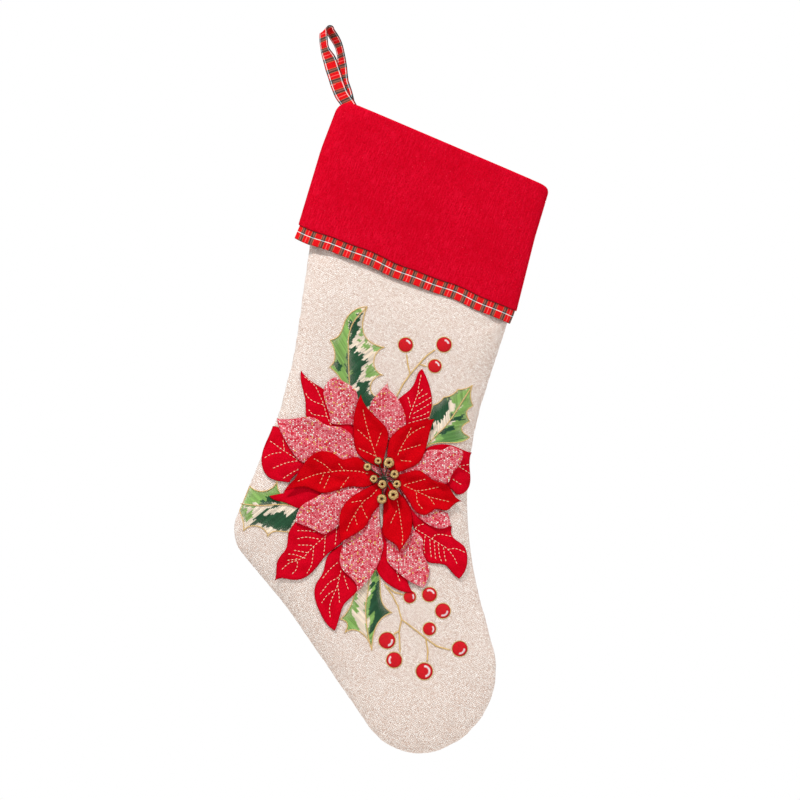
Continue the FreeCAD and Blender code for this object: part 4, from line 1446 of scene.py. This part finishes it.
def cuff_point(angle, v, inset):
    """Pattern points on the cuff's tube. angle runs round it: 0 left, pi/2 front, pi right."""
    share = (1 - np.cos(angle)) / 2
    fall = RIM_FALL * share * (1 - smooth_step(v / RIM_FALL_LENGTH))
    side_inset = inset + FACING_TAPER * max(inset - RIM_RADIUS, 0)
    left = np.interp(v, CUFF_LEVELS, CUFF_LEFT) + corner_cut(v, CORNER_LEFT) + side_inset
    right = np.interp(v, CUFF_LEVELS, CUFF_RIGHT) - corner_cut(v, CORNER_RIGHT) - side_inset
    c, s = np.cos(angle), np.sin(angle)
    depth = CUFF_DEPTH - CUFF_SKIN - inset
    sag = smooth_step(v / SAG_LENGTH)
    ripple = sag * (0.5 * np.sin(c * 5.2 + 0.4) + 0.28 * np.sin(c * 11 + v / 40))
    profile = (1 - np.abs(c) ** CUFF_POWER) ** (1 / CUFF_POWER)
    y = -np.sign(s) * (depth + ripple) * profile
    u = (left + right) / 2 - (right - left) / 2 * c
    return np.stack([u, v + fall, y], -1)


def tube_rows(profile):
    """Rows round the cuff. Each profile entry is a share of the hem's depth, an added v and an
    inset."""
    angle = np.arange(RING_COUNT) * 2 * math.pi / RING_COUNT
    share = (1 - np.cos(angle)) / 2
    return [
        cuff_point(angle, hem_share * hem_depth(share) + added, inset)
        for hem_share, added, inset in profile
    ]


def wrapped_places(profile):
    """Texture places that run round the tube, with their join at the middle of the back, and
    down it."""
    rows = np.stack(tube_rows(profile))
    steps = np.linalg.norm((np.roll(rows, -1, 1) - rows)[:, :, ::2], axis=2)
    along = np.cumsum(steps, axis=1) - steps
    front, back = RING_COUNT // 4, 3 * RING_COUNT // 4
    along[:, back:] -= steps.sum(1)[:, None]
    along += rows[:, front:front + 1, 0] - along[:, front:front + 1]
    return along, rows[:, :, 1]


def build_tube(prefix, profile, material, replaced, places=None, slot=None):
    """A tube round the leg, cut into a front, two sides and a back. Its front and back stand for the
    CAD nodes of the replaced name."""
    rows = np.stack(tube_rows(profile))
    if places is None:
        places = np.stack(wrapped_places(profile), -1)
    count = RING_COUNT
    side = round(SIDE_SHARE * count / 4)
    half = count // 2
    spans = {
        "front": range(side, half - side),
        "right": range(half - side, half + side),
        "back": range(half + side, count - side),
        "left": range(count - side, count + side),
    }
    for key, span in spans.items():
        bundle = Bundle()
        columns = [k % count for k in list(span) + [span[-1] + 1]]
        points = rows[:, columns].reshape(-1, 3)
        faces = [(a, d, c, b) for a, b, c, d in grid_faces(len(profile), len(columns))]
        bundle.add(points, faces, places[:, columns].reshape(-1, 2))
        stands_for = [f"{replaced}_{key}"] if key in ("front", "back") else []
        bend_cuff(bundle.make(f"{prefix}_{key}", material, stands_for, slot), key)


def bend_cuff(piece, key):
    """Bakes the piece's placement into its mesh, the same for the front, the back and the sides."""
    if key == "front":
        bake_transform(piece)
    elif key == "back":
        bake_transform(piece)
    else:
        bend_at_seam(piece)


def crest(end):
    """Profile entries over the rim, from its top to an angle: 0 is outside and pi inside."""
    entries = []
    for turn in np.linspace(math.pi / 2, end, 7):
        drop, inset = 1 - math.sin(turn), 1 - math.cos(turn)
        entries.append((0, RIM_TOP + RIM_RADIUS * drop, RIM_RADIUS * inset))
    return entries


def rim_profile():
    """From the rim's crest over to the outside, and down to the folded hem."""
    shares = np.linspace(0.02, 0.985, 60)
    face = [(share, (1 - share) * (RIM_TOP + RIM_RADIUS), 0) for share in shares]
    fold = [
        (1, -0.5, 0.05), (1, -0.1, 0.35), (1, 0, 0.7), (1, -0.2, 1.05), (1, -0.8, 1.2), (1, -9, 1.2),
    ]
    return crest(0) + face + fold


def facing_profile():
    """From the facing's lower edge, inside the mouth, up to the rim's crest."""
    wall = [(0, v, FACING_INSET) for v in np.linspace(4, FACING_DEPTH, 10)]
    return list(reversed(crest(math.pi) + wall))


def trim_profile():
    """Down the ribbon's outside from behind the hem, round its edge and up its inside."""
    outer = [(1, added, TRIM_OUTSIDE) for added in np.linspace(-TRIM_TUCK, TRIM_DROP - 0.3, 14)]
    edge = [(1, TRIM_DROP, 1.6), (1, TRIM_DROP - 0.3, 1.9)]
    inner = [(1, added, TRIM_INSIDE) for added in np.linspace(TRIM_DROP - 1, -TRIM_TUCK, 8)]
    return outer + edge + inner


def trim_places(profile):
    """Texture places along the trim, and across it from the hem."""
    along, _ = wrapped_places(profile)
    across = np.array([added for _, added, _ in profile])
    return np.stack([along, np.repeat(across[:, None], RING_COUNT, 1)], -1)


build_tube("cuff_cloth", rim_profile(), "red_cuff_cloth", "cuff")
build_tube("mouth_facing_cloth", facing_profile(), "red_cuff_cloth", "mouth_facing")
build_tube(
    "tartan_trim", trim_profile(), "tartan_trim", "trim",
    trim_places(trim_profile()), slot="tartan_ribbon",
)

# ---------------------------------------------------------------- ribbon loop

RIBBON_WALL = 0.6


def loop_frame():
    """Directions of the loop: down along it, across the ribbon, and out of its face."""
    swing = np.array(JOINTS["side_swing"]["pos_m"], float)
    down = swing / np.linalg.norm(swing)
    mount = next(m for m in frame["record"]["mounts"] if m["name"] == "hook_seat")
    wide = np.array(mount["axis"], float)
    out = np.cross(down, wide)
    return down, wide, out / np.linalg.norm(out)


def loop_ribbon(name, path, replaces, start=0.0, stride=1):
    """A ribbon along a path given as (distance below the hook, distance out, shift across, turn
    about the path in degrees), in mm. The tartan runs on from a start. Also gives its end."""
    down, wide, out = loop_frame()
    path = smooth_path(path, 1.0)
    half = RIBBON_WIDTH / 2
    way = np.gradient(path[:, :2], axis=0)
    way /= np.linalg.norm(way, axis=1)[:, None]
    normal = np.column_stack([-way[:, 1], way[:, 0]])
    across = np.array([-1, -0.96, -0.6, -0.2, 0.2, 0.6, 0.96, 1]) * half
    section = [(a, RIBBON_WALL / 2 * (1 if abs(a) < half else 0.3)) for a in across]
    section += [(a, -r) for a, r in reversed(section)]
    reach = reach_along(path[:, :2])
    points, places = [], []
    for spot, up, along in zip(path, normal, reach):
        twist = math.radians(spot[3])
        face = down * up[0] + out * up[1]
        middle = down * spot[0] + out * spot[1] + wide * spot[2]
        for a, rise in section:
            flat = wide * math.cos(twist) + face * math.sin(twist)
            proud = face * math.cos(twist) - wide * math.sin(twist)
            points.append((middle + flat * a + proud * rise) * MM)
            places.append((start + stride * along, a + half))
    faces = grid_faces(len(path), len(section), ring=True)
    points = np.array(points)
    white = np.ones((len(points), 3))
    ribbon = new_piece(name, points, faces, np.array(places), white, "tartan_ribbon", replaces)
    return ribbon, start + stride * reach[-1]


def bend_ribbon(piece):
    """Bakes a ribbon's placement into its mesh."""
    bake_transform(piece)


# The loop's two sides from the bight down, and the sewn ends below them, as loop_ribbon paths.
BIGHT_RADIUS, BIGHT_RISE, BIGHT_OUT = 2.8, 6.3, -2.8
RIGHT_SIDE = [
    (0, 2.6, 0.8, -2), (7, 4.3, 0.6, -8), (16, 4.0, 0.8, -8),
    (24, 2.6, 2.0, 6), (31, 0.2, 2.6, 24), (37, -1.2, 3.0, 36),
]
LEFT_SIDE = [
    (0, -6.5, 4.9, 6), (7, -7.0, 5.4, 4), (16, -6.2, 4.3, -24),
    (24, -5.8, 4.3, -37), (31, -5.2, 4.4, -38), (37, -5.0, 4.5, -38),
]
OUTER_END = [(37, -5.0, 4.5, -38), (47, -4.0, 3.8, -38), (57, -1.8, 1.2, -36), (68, -0.6, -0.2, -34)]
INNER_END = [(37, -1.2, 3.0, -36), (47, -0.8, 2.7, -38), (57, -0.8, 3.2, -34), (68, -1.2, 3.6, -30)]


def build_loop():
    """The open bight, and the two ends fanned on each other down into the mouth."""
    turn = np.radians(np.linspace(-80, 80, 5))
    arc = [
        (-BIGHT_RISE - BIGHT_RADIUS * math.cos(t), BIGHT_OUT - BIGHT_RADIUS * math.sin(t),
         2.4 + 1.2 * math.sin(t), 20 * math.cos(t) + 4 * math.sin(t))
        for t in turn
    ]
    loop, reach = loop_ribbon("ribbon_loop", RIGHT_SIDE[::-1] + arc + LEFT_SIDE, ["hanging_loop"])
    bend_ribbon(loop)
    outer, _ = loop_ribbon("ribbon_end_outer", OUTER_END, ["loop_tab"], reach)
    inner, _ = loop_ribbon("ribbon_end_inner", INNER_END, ["loop_anchor"], 0.0, -1)
    for end in (outer, inner):
        bend_ribbon(end)


build_loop()

# ---------------------------------------------------------------- stage

VIEW_SIZE = 0.664
LENS, SENSOR = 260.0, 36.0


def aim(item, target):
    item.rotation_euler = (Vector(target) - item.location).to_track_quat("-Z", "Y").to_euler()


def add_light(name, place_at, target, size, power):
    light = bpy.data.lights.new(name, "AREA")
    light.size = size
    light.energy = power
    item = bpy.data.objects.new(name, light)
    bpy.context.scene.collection.objects.link(item)
    item.location = place_at
    aim(item, target)


def build_stage():
    scene = bpy.context.scene
    low, high = cad_size
    middle = (low + high) / 2
    target = middle + Vector((0.007, 0, -0.0068))
    distance = VIEW_SIZE / 2 / math.tan(math.atan(SENSOR / 2 / LENS))
    camera = bpy.data.objects.new("camera", bpy.data.cameras.new("camera"))
    camera.data.lens = LENS
    camera.data.sensor_width = SENSOR
    camera.location = (target.x, -distance, target.z)
    scene.collection.objects.link(camera)
    aim(camera, (target.x, 0, target.z))
    scene.camera = camera

    bpy.ops.mesh.primitive_circle_add(vertices=96, radius=0.5, fill_type="NGON")
    floor = bpy.context.object
    floor.name = "floor"
    floor.location = (middle.x, 0.0, low.z - 0.13)
    pale = Shader("floor_paint", roughness=0.9)
    grain = pale.node("TexNoise", {"Scale": 40.0}).outputs[0]
    pale.set("Base Color", pale.mix(grain, rgba(244, 243, 241), rgba(250, 249, 247)))
    floor.data.materials.append(pale.material)

    add_light("key", (-0.5, -1.1, 1.4), middle, 0.22, 36)
    add_light("fill", (1.2, -1.5, 0.1), middle, 1.2, 10)
    add_light("left_side", (-1.4, -0.15, -0.2), middle, 1.0, 6)
    add_light("right_side", (1.45, -0.15, 0.0), middle, 1.0, 5)
    add_light("rear", (0.4, 1.6, -0.5), middle, 1.2, 20)

    world = bpy.data.worlds.new("studio")
    world.use_nodes = True
    scene.world = world
    tree = world.node_tree
    background = tree.nodes["Background"]
    background.inputs["Color"].default_value = (1, 1, 1, 1)
    seen = tree.nodes.new("ShaderNodeLightPath")
    strength = tree.nodes.new("ShaderNodeMapRange")
    strength.inputs["To Min"].default_value = 0.4
    strength.inputs["To Max"].default_value = 1.0
    tree.links.new(seen.outputs["Is Camera Ray"], strength.inputs["Value"])
    tree.links.new(strength.outputs[0], background.inputs["Strength"])
    scene.view_settings.view_transform = "Standard"


build_stage()
